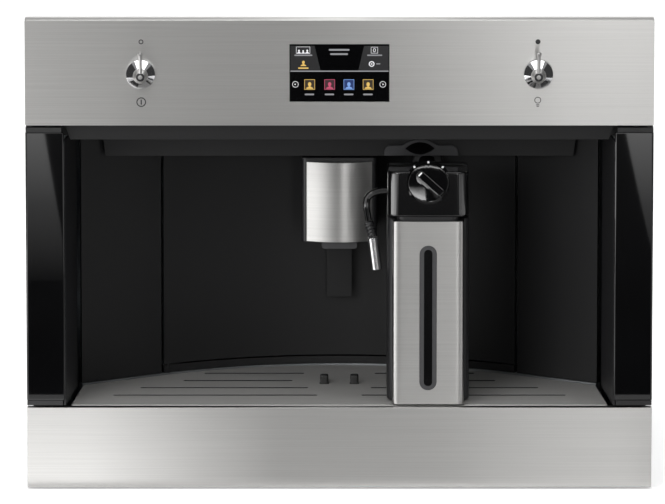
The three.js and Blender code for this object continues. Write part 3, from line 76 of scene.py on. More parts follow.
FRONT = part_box("control_fascia")[0].y / MM


# ---------------------------------------------------------------- settings


def linear(code):
    """Turns an sRGB hex colour into linear RGBA."""
    parts = [int(code[i : i + 2], 16) / 255 for i in (1, 3, 5)]
    return tuple(c / 12.92 if c <= 0.04045 else ((c + 0.055) / 1.055) ** 2.4 for c in parts) + (1.0,)


def colour(name, description, code):
    """A colour that the user can change."""
    return bpy.props.FloatVectorProperty(
        name=name, description=description, default=linear(code), subtype="COLOR", size=4, min=0, max=1
    )


def length(name, description, millimetres):
    """A length that the user can change."""
    return bpy.props.FloatProperty(
        name=name, description=description, default=millimetres * MM, unit="LENGTH", precision=5
    )


class StudioSettings(bpy.types.PropertyGroup):
    """Camera and light."""

    distance: length("Camera distance", "From the front's middle", 9000)
    elevation: bpy.props.FloatProperty(
        name="Camera elevation", description="Angle above level", default=radians(12), subtype="ANGLE"
    )
    scale: bpy.props.FloatProperty(
        name="Picture scale",
        description="Pixels of the picture for a millimetre of the front",
        default=1.0538,
    )
    picture_width: bpy.props.IntProperty(name="Picture width", description="In pixels", default=665)
    side_shift: length("Side shift", "How far left of the middle the camera aims", 6.6)
    aim_height: length("Aim height", "Height that the camera aims at", 231.6)
    lamp_power: bpy.props.FloatProperty(name="Lamp power", description="Scale of all lamps", default=1.0)


class SizeSettings(bpy.types.PropertyGroup):
    """Sizes of the fine surfaces."""

    edge: length("Edge rounding", "Radius on the edges of most pieces", 0.3)
    front_edge: length("Front edge rounding", "Radius along the folds of the steel fronts", 0.7)
    print_height: length("Print height", "Thickness of printed marks", 0.06)
    knob_boss: length("Knob boss radius", "Round face in the middle of a knob", 7.0)
    tile: length("Display tile", "Side of a tile in the display", 9.9)
    lid_edge: length("Lid edge rounding", "Radius round the top of the carafe's lid", 2.4)
    tick: length("Dial tick", "Length of a mark on the hood round the dial", 2.2)
    grid_front: length("Grid front edge", "Rounding along the front of the cup grid", 1.7)
    peg: length("Float peg", "Width of the float's square pegs", 8.1)
    sheet: length("Cover sheet", "Thickness of the carafe's steel cover", 1.2)
    cover_corner: length("Cover corner", "Depth of the folds of the carafe's cover", 12)
    screw: length("Screw head", "Radius of the heads in the casing", 3.2)


class ColourSettings(bpy.types.PropertyGroup):
    """Base colours of the finishes."""

    steel: colour("Stainless steel", "Brushed fronts and covers", "#C4C3C1")
    grid: colour("Cup grid", "Stainless plate of the cup grid", "#C2C1BF")
    cut_edge: colour("Cut edge", "Walls of the grid's slots", "#1A1918")
    chrome: colour("Chrome", "Polished knobs", "#DCDCDE")
    tube: colour("Bright tube", "Sleeve at the foot of the milk pipe", "#EEEEEF")
    satin: colour("Satin chrome", "Bosses and levers", "#B0AFAE")
    gloss_black: colour("Gloss black", "Lid, dial and milk pipe", "#060607")
    panel: colour("Panel black", "Panels at the back of the niche", "#121213")
    satin_black: colour("Satin black", "Niche and jug", "#1A1A1C")
    dark_grey: colour("Dark grey", "Outlet, bezel and window frame", "#3C3C3E")
    glass: colour("Black glass", "Pillars and display", "#050506")
    paint: colour("Black paint", "Frame behind the fronts", "#151516")
    zinc: colour("Zinc plate", "Casing and rails", "#9A9DA0")
    cast: colour("Cast aluminium", "Grinder, boiler and pump", "#A3A5A7")
    clear: colour("Clear plastic", "Water tank", "#E4EDEE")
    smoked: colour("Smoked plastic", "Bean hopper and grounds container", "#4A4542")
    board: colour("Circuit board", "Solder mask", "#1F5A34")
    lens: colour("Lamp lens", "Opal lens of the niche lamps", "#DAD6CB")
    ink: colour("Printing ink", "Symbols on the steel front", "#1C1C1E")
    mark: colour("White ink", "Marks on the lid and the dial", "#E6E6E6")
    pale: colour("Display white", "Lines and bars of the display", "#C9C9CC")
    soft: colour("Display text grey", "Bars that stand for words", "#8E8E92")
    zone: colour("Display grey", "Two zones of the display's header", "#060608")
    gold: colour("Display gold", "First and last tile", "#E3BC62")
    rose: colour("Display rose", "Second tile", "#C44E6E")
    blue: colour("Display blue", "Third tile", "#7CA3E3")
    amber: colour("Display brown", "Ground of the gold tiles", "#2A1D08")
    maroon: colour("Display maroon", "Ground of the rose tile", "#34101A")
    navy: colour("Display navy", "Ground of the blue tile", "#0D2C66")


# ---------------------------------------------------------------- small tools

# Points nearer than this are one point, in metres.
DOUBLE = 0.002 * MM
# Degrees beyond the rounding angle up to which faces are shaded smooth.
SMOOTH_MARGIN = 8


def leave_edit():
    """Goes back to object mode, which writes what was edited into the mesh."""
    bpy.ops.object.mode_set(mode="OBJECT")


def clear_selection():
    """Leaves nothing selected, in object mode."""
    if bpy.context.mode != "OBJECT":
        leave_edit()
    for other in bpy.context.view_layer.objects:
        other.select_set(False)


def activate(piece):
    """Leaves only this piece selected, in object mode."""
    clear_selection()
    piece.select_set(True)
    bpy.context.view_layer.objects.active = piece


def named(name, size=None):
    """Takes the new primitive, gives it its name and its size, and puts its place into its mesh."""
    piece = bpy.context.object
    if size:
        piece.scale = size
    piece.name = name
    piece.data.name = name
    bpy.ops.object.transform_apply(location=True, rotation=True, scale=True)
    return piece


def block(name, x, y, z):
    """A block between the given lowest and highest millimetres."""
    clear_selection()
    spans = [Vector((low, high)) * MM for low, high in (x, y, z)]
    bpy.ops.mesh.primitive_cube_add(
        size=1,
        location=[(span[0] + span[1]) / 2 for span in spans],
        scale=[span[1] - span[0] for span in spans],
    )
    return named(name)


def ends(node):
    """The lowest and the highest corner of a CAD node, in mm."""
    return [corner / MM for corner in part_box(node)]


def choose(piece, kind, test):
    """Enters edit mode with the parts selected that pass the test.

    The test takes a part's middle in mm, and the normal of a face or vertex or the direction of an edge.
    """
    activate(piece)
    bpy.ops.object.mode_set(mode="EDIT")
    bpy.ops.mesh.select_mode(type=kind)
    bpy.ops.mesh.select_all(action="DESELECT")
    leave_edit()
    mesh = piece.data
    corners = [v.co / MM for v in mesh.vertices]
    if kind == "FACE":
        for face in mesh.polygons:
            face.select = test(face.center / MM, face.normal)
    elif kind == "EDGE":
        for edge in mesh.edges:
            a, b = (corners[i] for i in edge.vertices)
            edge.select = test((a + b) / 2, (b - a).normalized())
    else:
        for vertex in mesh.vertices:
            vertex.select = test(corners[vertex.index], vertex.normal)
    bpy.ops.object.mode_set(mode="EDIT")


def upright(at, way):
    """Tests for an upright edge."""
    return abs(way.z) > 0.99


def edit_all(piece):
    """Enters edit mode with the whole piece selected."""
    activate(piece)
    bpy.ops.object.mode_set(mode="EDIT")
    bpy.ops.mesh.select_all(action="SELECT")


def tidy_normals(piece):
    """Merges doubles and turns every face outwards."""
    edit_all(piece)
    bpy.ops.mesh.remove_doubles(threshold=DOUBLE)
    bpy.ops.mesh.normals_make_consistent(inside=False)
    leave_edit()


def modify(piece, kind, **settings):
    """Adds a modifier with its settings and applies it."""
    activate(piece)
    modifier = piece.modifiers.new(kind.title(), kind)
    for key, value in settings.items():
        setattr(modifier, key, value)
    bpy.ops.object.modifier_apply(modifier=modifier.name)


def round_edges(piece, width, segments, angle):
    """Rounds the edges that are sharper than an angle in degrees; the width is in metres."""
    modify(piece, "BEVEL", width=width, segments=segments, limit_method="ANGLE", angle_limit=radians(angle))


def round_chosen(piece, test, radius, segments, **settings):
    """Rounds the edges that pass the test; the radius is in metres."""
    choose(piece, "EDGE", test)
    bpy.ops.mesh.bevel(offset=radius, segments=segments, affect="EDGES", **settings)
    leave_edit()


def soften(piece, width, segments=2, angle=30):
    """Rounds the sharp edges by the given millimetres and smooths the shading between flat faces."""
    if width:
        round_edges(piece, width * MM, segments, angle)
    activate(piece)
    bpy.ops.object.shade_smooth_by_angle(angle=radians(angle + SMOOTH_MARGIN))
    modify(piece, "WEIGHTED_NORMAL", keep_sharp=True, weight=90)


def joined(name, pieces):
    """Joins pieces into one object."""
    activate(pieces[0])
    for piece in pieces[1:]:
        piece.select_set(True)
    if len(pieces) > 1:
        bpy.ops.object.join()
    pieces[0].name = name
    pieces[0].data.name = name
    return pieces[0]


def settle(piece, body, slot, key, *nodes):
    """Gives a piece its finish and its body, and lets it stand for CAD nodes; its slot argument is not used.
    """
    piece.data.materials.clear()
    piece.data.materials.append(finish(key))
    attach(piece, body)
    if nodes:
        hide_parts(*nodes)
    return piece


def merged_copy(node):
    """A copy of a node's mesh with its loose triangles merged into flat faces."""
    piece = bpy.data.objects.new(node + "_body", frame["nodes"][node].data.copy())
    bpy.context.collection.objects.link(piece)
    activate(piece)
    if piece.data.has_custom_normals:
        bpy.ops.mesh.customdata_custom_splitnormals_clear()
    edit_all(piece)
    bpy.ops.mesh.remove_doubles(threshold=DOUBLE)
    bpy.ops.mesh.dissolve_limited(angle_limit=radians(0.5))
    leave_edit()
    return piece


def refined(node, key, width=None, segments=2, angle=30):
    """A copy of a node with its edges rounded and its finish on, which stands for the node."""
    piece = merged_copy(node)
    soften(piece, bpy.context.scene.machine_sizes.edge / MM if width is None else width, segments, angle)
    return settle(piece, BODY_OF[node], SLOT_OF[node], key, node)


def turned(name, rings, foot, direction, sides):
    """Draws a circle out ring by ring from a foot along a direction; a ring is (radius, distance) in mm."""
    clear_selection()
    along = Vector(direction).normalized()
    foot = Vector(foot)
    radius, distance = rings[0]
    bpy.ops.mesh.primitive_circle_add(
        vertices=sides,
        radius=radius * MM,
        fill_type="NGON",
        location=(foot + along * distance) * MM,
        rotation=along.to_track_quat("Z", "Y").to_euler(),
    )
    piece = named(name)
    edit_all(piece)
    for (radius, distance), (next_radius, next_distance) in zip(rings, rings[1:]):
        step = along * (next_distance - distance) * MM
        bpy.ops.mesh.extrude_region_move(TRANSFORM_OT_translate={"value": step})
        centre = (foot + along * next_distance) * MM
        bpy.ops.transform.resize(value=[next_radius / radius] * 3, center_override=centre)
    leave_edit()
    tidy_normals(piece)
    return piece


def flat(name, shape, x, z, width, height, front, depth=None, rim=0.0, turn=0.0):
    """A thin mark facing the front: a bar, tile, disc, arrow or shoulders, or its outline if rim is given."""
    clear_selection()
    place = {"location": Vector((x, front, z)) * MM, "rotation": (pi / 2, turn, 0)}
    if shape in ("bar", "tile"):
        bpy.ops.mesh.primitive_plane_add(size=MM, **place)
    else:
        bpy.ops.mesh.primitive_circle_add(
            vertices=3 if shape == "arrow" else 32, radius=MM / 2, fill_type="NGON", **place
        )
    piece = named(name, (width, height, 1))
    edit_all(piece)
    if shape == "bar":
        bpy.ops.mesh.bevel(offset=min(width, height) * 0.45 * MM, segments=4, affect="VERTICES")
    elif shape == "shoulders":
        bpy.ops.mesh.bisect(plane_co=place["location"], plane_no=(0, 0, 1), clear_inner=True)
    if rim:
        bpy.ops.mesh.inset(thickness=rim * MM)
        bpy.ops.mesh.delete(type="FACE")
    bpy.ops.mesh.select_all(action="SELECT")
    thickness = bpy.context.scene.machine_sizes.print_height if depth is None else depth * MM
    bpy.ops.mesh.extrude_region_move(TRANSFORM_OT_translate={"value": (0, -thickness, 0)})
    leave_edit()
    tidy_normals(piece)
    return piece


def level_faces(piece):
    """Merges the flat faces that cutting has split."""
    edit_all(piece)
    bpy.ops.mesh.dissolve_limited(angle_limit=radians(0.3))
    leave_edit()


def slab(name, middle, across, along, size, corner=0.0, edge=0.0):
    """A block at any tilt, from its middle, two of its directions and its three sizes; lengths are in mm.

    Corner is the radius of the four corners seen along its third direction, edge that of its other edges.
    """
    clear_selection()
    facing = Vector(across).cross(Vector(along))
    turn = Matrix((across, along, facing)).transposed()
    bpy.ops.mesh.primitive_cube_add(
        size=MM, location=Vector(middle) * MM, rotation=turn.to_euler(), scale=size
    )
    piece = named(name)
    if corner:
        round_chosen(piece, lambda at, way: abs(way.dot(facing)) > 0.99, corner * MM, 6)
    if edge:
        round_edges(piece, edge * MM, 4, 50)
    return piece


def copied(piece, name, shift, turn):
    """A copy of a piece with its own mesh, turned about the origin and moved by millimetres."""
    other = bpy.data.objects.new(name, piece.data.copy())
    bpy.context.collection.objects.link(other)
    activate(other)
    other.location = Vector(shift) * MM
    other.rotation_euler = turn
    bpy.ops.object.transform_apply(location=True, rotation=True, scale=False)
    return other


def carve(piece, tool, operation="DIFFERENCE"):
    """Cuts a tool out of a piece, or adds it, and removes the tool."""
    modify(piece, "BOOLEAN", object=tool, operation=operation, solver="EXACT")
    bpy.data.objects.remove(tool)
    return piece


# ---------------------------------------------------------------- materials


def add_node(tree, kind, sockets=None, **settings):
    """Adds a shader node; sockets are its inputs, values or other nodes' outputs, settings its options."""
    node = tree.nodes.new("ShaderNode" + kind)
    for key, value in settings.items():
        setattr(node, key, value)
    for key, value in (sockets or {}).items():
        if isinstance(value, bpy.types.NodeSocket):
            tree.links.new(value, node.inputs[key])
        else:
            node.inputs[key].default_value = value
    return node


def new_tree(owner, output):
    """Empties the shader of a material or the world but for its output."""
    owner.use_nodes = True
    tree = owner.node_tree
    tree.nodes.clear()
    return tree, add_node(tree, output)


def new_material(name, tint, metallic, sockets):
    """A material with a Principled shader; sockets are further inputs of the shader."""
    material = bpy.data.materials.new(name)
    tree, output = new_tree(material, "OutputMaterial")
    shader = add_node(tree, "BsdfPrincipled", {"Base Color": tint, "Metallic": metallic, **sockets})
    tree.links.new(shader.outputs[0], output.inputs[0])
    return material, tree, shader


# Values of the noise between which colour runs from its darkest to its palest.
NOISE_ENDS = (0.32, 0.68)


def grain(tree, shader, spacing, spread, roughness, relief=0.0, detail=3.0):
    """Lays a noise over a shader.

    Spacing is the size of its grains in mm along X, Y and Z, spread the share that the colour goes up and
    down, roughness its two ends and relief a height in mm.
    """
    place = add_node(tree, "TexCoord").outputs["Object"]
    scaled = add_node(tree, "Mapping", {"Vector": place, "Scale": [1 / (MM * s) for s in spacing]})
    inputs = {"Vector": scaled.outputs[0], "Scale": 1.0, "Detail": detail, "Roughness": 0.6}
    value = add_node(tree, "TexNoise", inputs).outputs[0]
    base = shader.inputs["Base Color"].default_value
    ramp = add_node(tree, "ValToRGB", {"Fac": value})
    shares = (1 - spread, 1 + spread)
    for element, position, share in zip(ramp.color_ramp.elements, NOISE_ENDS, shares):
        element.position = position
        element.color = [min(c * share, 1) for c in base[:3]] + [1]
    tree.links.new(ramp.outputs[0], shader.inputs["Base Color"])
    levels = add_node(tree, "MapRange", {0: value, 3: roughness[0], 4: roughness[1]})
    tree.links.new(levels.outputs[0], shader.inputs["Roughness"])
    if relief:
        bump = add_node(tree, "Bump", {"Height": value, "Strength": 1.0, "Distance": relief * MM})
        tree.links.new(bump.outputs[0], shader.inputs["Normal"])


def palette():
    """The colours that the user can change."""
    return bpy.context.scene.machine_colours


# Finishes: the material's name, its colour, how metallic it is, further inputs of its shader, and its grain:
# spacing in mm, spread of the colour, ends of the roughness, and where given its relief in mm and detail.
FINISHES = {
    # Stainless sheet, belt-ground along its length: fine streaks, and highlights drawn out across them.
    # Real grit lines lie about 0.1 mm apart; 1.1 mm is the finest that shows.
    "brushed_steel": (
        "brushed_stainless_steel", "steel", 1.0, {"Anisotropic": 0.82, "Anisotropic Rotation": 0.25},
        ((170, 170, 1.1), 0.05, (0.30, 0.38), 0.0, 4.0),
    ),
    # Stainless plate of the cup grid, brushed along the machine's width and dulled by cups.
    "grid_steel": (
        "satin_stainless_grid", "grid", 1.0, {},
        ((120, 1.3, 40), 0.06, (0.66, 0.74), 0.0, 4.0),
    ),
    # Flame-dark oxide left on the walls of the laser-cut slots.
    "cut_edge": (
        "oxidised_cut_edge", "cut_edge", 0.4, {},
        ((0.8, 0.8, 3), 0.15, (0.6, 0.8)),
    ),
    # Chrome plate on zinc castings: a mirror with a trace of handling haze.
    "chrome": (
        "polished_chrome", "chrome", 1.0, {},
        ((9, 9, 9), 0.03, (0.04, 0.09), 0.0, 2.0),
    ),
    # Bright-drawn stainless tube of the milk pipe's sleeve: pale, with fine lines along it.
    "bright_tube": (
        "bright_drawn_tube", "tube", 1.0, {},
        ((0.8, 0.8, 30), 0.04, (0.17, 0.24), 0.0, 2.0),
    ),
    # Matt chrome plate of the knobs' bosses and levers.
    "satin_chrome": (
        "satin_chrome", "satin", 1.0, {},
        ((2, 2, 2), 0.04, (0.33, 0.43), 0.0, 2.0),
    ),
    # Lacquered ABS, as on a piano-black trim: deep black with a clear, very slightly wavy gloss.
    "gloss_black": (
        "gloss_black_abs", "gloss_black", 0.0, {"IOR": 1.53, "Coat Weight": 0.8, "Coat Roughness": 0.03},
        ((14, 14, 14), 0.12, (0.05, 0.09), 0.02, 1.0),
    ),
    # ABS with a fine satin tool finish, on the niche's panels: black with a soft, broad sheen.
    "semi_gloss_black": (
        "semi_gloss_black_abs", "panel", 0.0, {"IOR": 1.4},
        ((1.4, 1.4, 1.4), 0.06, (0.46, 0.54), 0.008, 2.0),
    ),
    # ABS with a fine spark-eroded texture, used for the niche: dark grey-black, soft broad gloss.
    "satin_black": (
        "satin_black_abs", "satin_black", 0.0, {"IOR": 1.53},
        ((0.9, 0.9, 0.9), 0.08, (0.38, 0.48), 0.012, 2.0),
    ),
    # Grey-filled ABS, moulded with a fine matt texture.
    "dark_grey": (
        "dark_grey_abs", "dark_grey", 0.0, {"IOR": 1.53},
        ((1.0, 1.0, 1.0), 0.06, (0.4, 0.52), 0.012, 2.0),
    ),
    # Float glass with black enamel fired on its back: a mirror-smooth front over pure black.
    "black_glass": (
        "back_painted_glass", "glass", 0.0, {"IOR": 1.52},
        ((60, 60, 60), 0.2, (0.015, 0.03), 0.0, 1.0),
    ),
    # Polyester powder coat on steel sheet: satin black with a faint orange peel.
    "black_paint": (
        "black_powder_coat", "paint", 0.0, {"IOR": 1.5},
        ((2.2, 2.2, 2.2), 0.1, (0.45, 0.58), 0.02),
    ),
    # Electro-galvanised sheet: cool grey with soft cloudy patches a few centimetres wide.
    "zinc_steel": (
        "zinc_plated_sheet", "zinc", 1.0, {},
        ((34, 34, 34), 0.15, (0.34, 0.52), 0.0, 5.0),
    ),
    # Die-cast aluminium, as cast: pale grey, dull, with a fine mottled skin.
    "cast_metal": (
        "die_cast_aluminium", "cast", 1.0, {},
        ((3.5, 3.5, 3.5), 0.12, (0.48, 0.65), 0.05, 4.0),
    ),
    # Clear SAN of the water tank: see-through with a faint blue-green cast and polished faces.
    "clear_plastic": (
        "clear_san", "clear", 0.0, {"IOR": 1.57, "Transmission Weight": 0.85},
        ((25, 25, 25), 0.03, (0.04, 0.1), 0.0, 1.0),
    ),
    # Smoke-tinted SAN of the bean hopper.
    "smoked_plastic": (
        "smoked_san", "smoked", 0.0, {"IOR": 1.57, "Transmission Weight": 0.6},
        ((25, 25, 25), 0.08, (0.05, 0.12), 0.0, 1.0),
    ),
    # Glass-fibre board under green solder mask, with the weave just showing.
    "circuit_board": (
        "solder_masked_board", "board", 0.0, {"IOR": 1.5},
        ((1.2, 1.2, 1.2), 0.1, (0.3, 0.45), 0.01, 2.0),
    ),
    # Opal polycarbonate over the niche lamps, unlit.
    "warm_lens": (
        "opal_polycarbonate", "lens", 0.0, {"IOR": 1.58, "Transmission Weight": 0.15},
        ((6, 6, 6), 0.03, (0.26, 0.36), 0.0, 2.0),
    ),
    # Black screen-printing ink on the steel front.
    "ink": (
        "black_printing_ink", "ink", 0.0, {},
        ((0.7, 0.7, 0.7), 0.1, (0.45, 0.6), 0.0, 2.0),
    ),
    # White pad-printing ink in the marks round the dial.
    "mark": (
        "white_printing_ink", "mark", 0.0, {},
        ((0.7, 0.7, 0.7), 0.05, (0.4, 0.55), 0.0, 2.0),
    ),
}

# Lit picture elements seen through the display's cover glass: the material's name and how brightly it shines.
LIT_PIXELS = {
    "pale": ("display_white", 1.5),
    "soft": ("display_text_grey", 1.0),
    "zone": ("display_grey", 1.0),
    "gold": ("display_gold", 1.0),
    "rose": ("display_rose", 1.0),
    "blue": ("display_blue", 1.0),
    "amber": ("display_brown", 1.0),
    "maroon": ("display_maroon", 1.0),
    "navy": ("display_navy", 1.0),
}
UNLIT_PIXEL = "#0A0A0B"
PIXEL_GRAIN = ((0.6, 0.6, 0.6), 0.1, (0.25, 0.35), 0.0, 1.0)


def finish(key):
    """The material of a finish, made the first time that a piece asks for it."""
    if key in LIT_PIXELS:
        name, strength = LIT_PIXELS[key]
        tint, metallic, grains = linear(UNLIT_PIXEL), 0.0, PIXEL_GRAIN
        sockets = {"Emission Color": getattr(palette(), key), "Emission Strength": strength}
    else:
        name, setting, metallic, sockets, grains = FINISHES[key]
        tint = getattr(palette(), setting)
    if name in bpy.data.materials:
        return bpy.data.materials[name]
    material, tree, shader = new_material(name, tint, metallic, sockets)
    if "Anisotropic" in sockets:
        tangent = add_node(tree, "Tangent", direction_type="RADIAL", axis="Z")
        tree.links.new(tangent.outputs[0], shader.inputs["Tangent"])
    grain(tree, shader, *grains)
    return material


# ---------------------------------------------------------------- stage


def lamp(name, power, size, place, aim):
    """A rectangular soft lamp; size and places are in metres."""
    light = bpy.data.lights.new(name, "AREA")
    light.energy = power
    light.shape = "RECTANGLE"
    light.size, light.size_y = size
    holder = bpy.data.objects.new(name, light)
    bpy.context.collection.objects.link(holder)
    holder.location = place
    holder.rotation_euler = (Vector(aim) - Vector(place)).to_track_quat("-Z", "Y").to_euler()


def card(name, corners, stops, axis):
    """A board that only shiny surfaces see; stops are (place along axis X or Y in metres, brightness)."""
    mesh = bpy.data.meshes.new(name)
    mesh.from_pydata(corners, [], [range(len(corners))])
    board = bpy.data.objects.new(name, mesh)
    bpy.context.collection.objects.link(board)
    board.visible_camera = False
    board.visible_diffuse = False
    board.visible_shadow = False
    board.visible_transmission = False
    material = bpy.data.materials.new(name)
    tree, output = new_tree(material, "OutputMaterial")
    place = add_node(tree, "TexCoord").outputs["Object"]
    split = add_node(tree, "SeparateXYZ", {0: place})
    first, last = stops[0][0], stops[-1][0]
    share = add_node(tree, "MapRange", {0: split.outputs[axis], 1: first, 2: last})
    ramp = add_node(tree, "ValToRGB", {0: share.outputs[0]})
    elements = ramp.color_ramp.elements
    for index, (at, level) in enumerate(stops):
        place_on_ramp = (at - first) / (last - first)
        element = elements[index] if index < 2 else elements.new(place_on_ramp)
        element.position = place_on_ramp
        element.color = (level, level, level, 1)
    glow = add_node(tree, "Emission", {"Color": ramp.outputs[0], "Strength": 1.0})
    tree.links.new(glow.outputs[0], output.inputs[0])
    mesh.materials.append(material)


# Side of the floor and how far the camera sees, in metres, and the width of its sensor in mm.
FLOOR_SIDE = 60
VIEW_END = 200
SENSOR_WIDTH = 36
# Light of the room on the object, and what the floor shines to the camera on top of the light it takes.
ROOM_LEVEL = 0.34
FLOOR_LIFT = 0.42


def floor_material():
    """Pale painted floor: it takes the object's shadow and reads as white paper to the camera."""
    material, tree, shader = new_material("studio_floor", linear("#E9E9E9"), 0.0, {})
    output = tree.nodes["Material Output"]
    seen = add_node(tree, "LightPath").outputs["Is Camera Ray"]
    level = add_node(tree, "Math", {0: seen, 1: FLOOR_LIFT}, operation="MULTIPLY")
    lift = add_node(tree, "Emission", {"Color": (1, 1, 1, 1), "Strength": level.outputs[0]})
    total = add_node(tree, "AddShader", {0: shader.outputs[0], 1: lift.outputs[0]})
    tree.links.new(total.outputs[0], output.inputs[0])
    grain(tree, shader, (400, 400, 400), 0.01, (0.85, 0.95), detail=2.0)
    return material


def level_board(x, y, height):
    """Corners of a board that lies level between two X and two Y."""
    return [(x[0], y[0], height), (x[1], y[0], height), (x[1], y[1], height), (x[0], y[1], height)]


def side_board(x, y, top):
    """Corners of a board that stands on the floor beside the machine, at X and between two Y."""
    return [(x, y[0], 0.0), (x, y[1], 0.0), (x, y[1], top), (x, y[0], top)]


# Soft lamps: name, watts, size, place and what it aims at, in metres.
LAMPS = (
    ("lamp_top", 50, (2.6, 1.8), (0, -0.5, 2.4), (0, -0.2, 0)),
    ("lamp_left", 44, (1.2, 1.8), (-1.6, -2.9, 1.6), (0, 0, 0.25)),
    ("lamp_right", 6, (1.2, 1.8), (2.3, -2.4, 1.6), (0, 0, 0.25)),
    ("lamp_back", 22, (2.6, 1.2), (0, 2.6, 2.2), (0, 0.2, 0.1)),
)

# Boards that only shiny surfaces see: name, corners in metres, brightness from place to place, and its axis.
BOARDS = (
    # Floor before the machine: dark for the niche and the glass, with a pale wedge for each pillar.
    ("board_dark", level_board((-0.6, 0.6), (-1.95, -0.58), 0.004), [(-1.95, 0.10), (-0.58, 0.03)], "Y"),
    (
        "board_pale_left",
        [
            (-0.6, -1.95, 0.008),
            (-0.3356, -1.95, 0.008),
            (-0.2961, -1.386, 0.008),
            (-0.28, -1.1, 0.008),
            (-0.6, -1.1, 0.008),
        ],
        [(-1.95, 2.4), (-1.5, 0.8), (-1.1, 0.1)],
        "Y",
    ),
    (
        "board_pale_right",
        [
            (0.365, -1.95, 0.008),
            (0.3211, -1.95, 0.008),
            (0.3348, -1.3185, 0.008),
            (0.34, -1.1, 0.008),
            (0.365, -1.1, 0.008),
        ],
        [(-1.95, 2.4), (-1.5, 0.8), (-1.1, 0.1)],
        "Y",
    ),
    # What the lower front reflects, and what the upper front does on the floor and beyond it.
    (
        "board_near",
        level_board((-0.7, 0.7), (-0.56, -0.2), 0.004),
        [(-0.35, 2.0), (-0.24, 1.9), (-0.13, 0.95), (-0.06, 0.5), (0.1, 0.42), (0.15, 0.55), (0.27, 0.78),
         (0.3, 0.6)],
        "X",
    ),
    (
        "board_back",
        [(-1.5, -2.9, 0.0), (1.5, -2.9, 0.0), (1.5, -2.9, 1.3), (-1.5, -2.9, 1.3)],
        [(-0.7, 0.8), (-0.35, 0.6), (-0.17, 0.25), (-0.05, 0.05), (0.14, 0.05), (0.21, 1.5), (0.3, 5.0),
         (0.42, 5.0), (0.52, 0.4)],
        "X",
    ),
    (
        "board_far",
        level_board((-0.7, 0.7), (-2.75, -1.99), 0.005),
        [(-0.36, 0.7), (-0.16, 0.4), (0.0, 0.1), (0.13, 0.1), (0.18, 1.2), (0.27, 7.0), (0.32, 7.0),
         (0.36, 1.5)],
        "X",
    ),
    # Sides of the room, for faces that turn left or right, dark beside the knobs.
    (
        "board_left",
        side_board(-1.1, (-2.3, -0.1), 1.3),
        [(-2.3, 1.0), (-0.62, 1.3), (-0.5, 0.05), (-0.1, 0.05)],
        "Y",
    ),
    (
        "board_right",
        side_board(1.1, (-2.3, -0.1), 1.3),
        [(-2.3, 0.1), (-1.2, 0.1), (-0.75, 0.35), (-0.55, 0.5), (-0.45, 0.05), (-0.1, 0.05)],
        "Y",
    ),
    # Low pale boards in the round corners of the carafe's lid.
    (
        "board_lid_left",
        side_board(-1.0, (-1.6, -0.2), 0.085),
        [(-1.6, 0.3), (-0.9, 4.0), (-0.2, 4.0)],
        "Y",
    ),
    (
        "board_lid_floor",
        level_board((-1.0, -0.62), (-1.6, -0.3), 0.004),
        [(-1.6, 0.8), (-1.1, 3.0), (-0.3, 3.0)],
        "Y",
    ),
    (
        "board_lid_right",
        side_board(1.0, (-1.6, -0.2), 0.085),
        [(-1.6, 0.1), (-0.9, 1.1), (-0.2, 1.1)],
        "Y",
    ),
    # Overhead: dark for faces that turn up, with a pale patch for the tilted dial.
    ("board_high", level_board((-1.2, 1.2), (-4.2, -0.95), 2.3), [(-4.2, 0.02), (-0.95, 0.02)], "Y"),
    (
        "board_dial",
        level_board((-0.9, 0.02), (-2.9, -2.08), 2.25),
        [(-2.9, 6.0), (-2.5, 5.0), (-2.08, 0.3)],
        "Y",
    ),
    # Keeps the display's glass dark.
    (
        "board_display",
        level_board((-0.075, 0.062), (-2.5, -2.06), 0.006),
        [(-2.5, 0.02), (-2.06, 0.02)],
        "Y",
    ),
)


class MACHINE_OT_stage(bpy.types.Operator):
    """Floor, camera, lamps and the boards that shiny surfaces reflect"""

    bl_idname = "machine.stage"
    bl_label = "Stage"

    def execute(self, context):
        studio = context.scene.machine_studio
        clear_selection()
        bpy.ops.mesh.primitive_plane_add(size=FLOOR_SIDE, location=(0, 0, 0))
        floor = named("floor")
        floor.data.materials.append(floor_material())

        aim = Vector((-studio.side_shift, FRONT * MM, studio.aim_height))
        back = Vector((0, -cos(studio.elevation), sin(studio.elevation)))
        camera = bpy.data.cameras.new("camera")
        camera.sensor_width = SENSOR_WIDTH
        camera.lens = studio.distance / MM * studio.scale * camera.sensor_width / studio.picture_width
        camera.clip_end = VIEW_END
        holder = bpy.data.objects.new("camera", camera)
        context.collection.objects.link(holder)
        holder.location = aim + back * studio.distance
        holder.rotation_euler = (pi / 2 - studio.elevation, 0, 0)
        context.scene.camera = holder

        for name, watts, size, place, target in LAMPS:
            lamp(name, watts * studio.lamp_power, size, place, target)

        world = bpy.data.worlds.new("studio_world")
        context.scene.world = world
        tree, output = new_tree(world, "OutputWorld")
        seen = add_node(tree, "LightPath").outputs["Is Camera Ray"]
        soft = add_node(tree, "Background", {"Color": (1, 1, 1, 1), "Strength": ROOM_LEVEL})
        white = add_node(tree, "Background", {"Color": (1, 1, 1, 1), "Strength": 1.0})
        mix = add_node(tree, "MixShader", {0: seen, 1: soft.outputs[0], 2: white.outputs[0]})
        tree.links.new(mix.outputs[0], output.inputs[0])

        for name, corners, stops, axis in BOARDS:
            card(name, corners, stops, axis)
        context.scene.view_settings.view_transform = "Standard"
        return {"FINISHED"}


# ---------------------------------------------------------------- pieces

MACHINE = "machine"
JOINT = {joint["name"]: joint for joint in RECORD["behaviour"]["joints"]}

# Seat of the froth dial: its middle, the way that it faces, and the way up its face.
DIAL = Vector(JOINT["froth_dial_turn"]["pos_m"]) / MM
DIAL_AXIS = Vector(JOINT["froth_dial_turn"]["axis"]).normalized()
ACROSS = Vector((1, 0, 0))
DIAL_UP = DIAL_AXIS.cross(ACROSS)


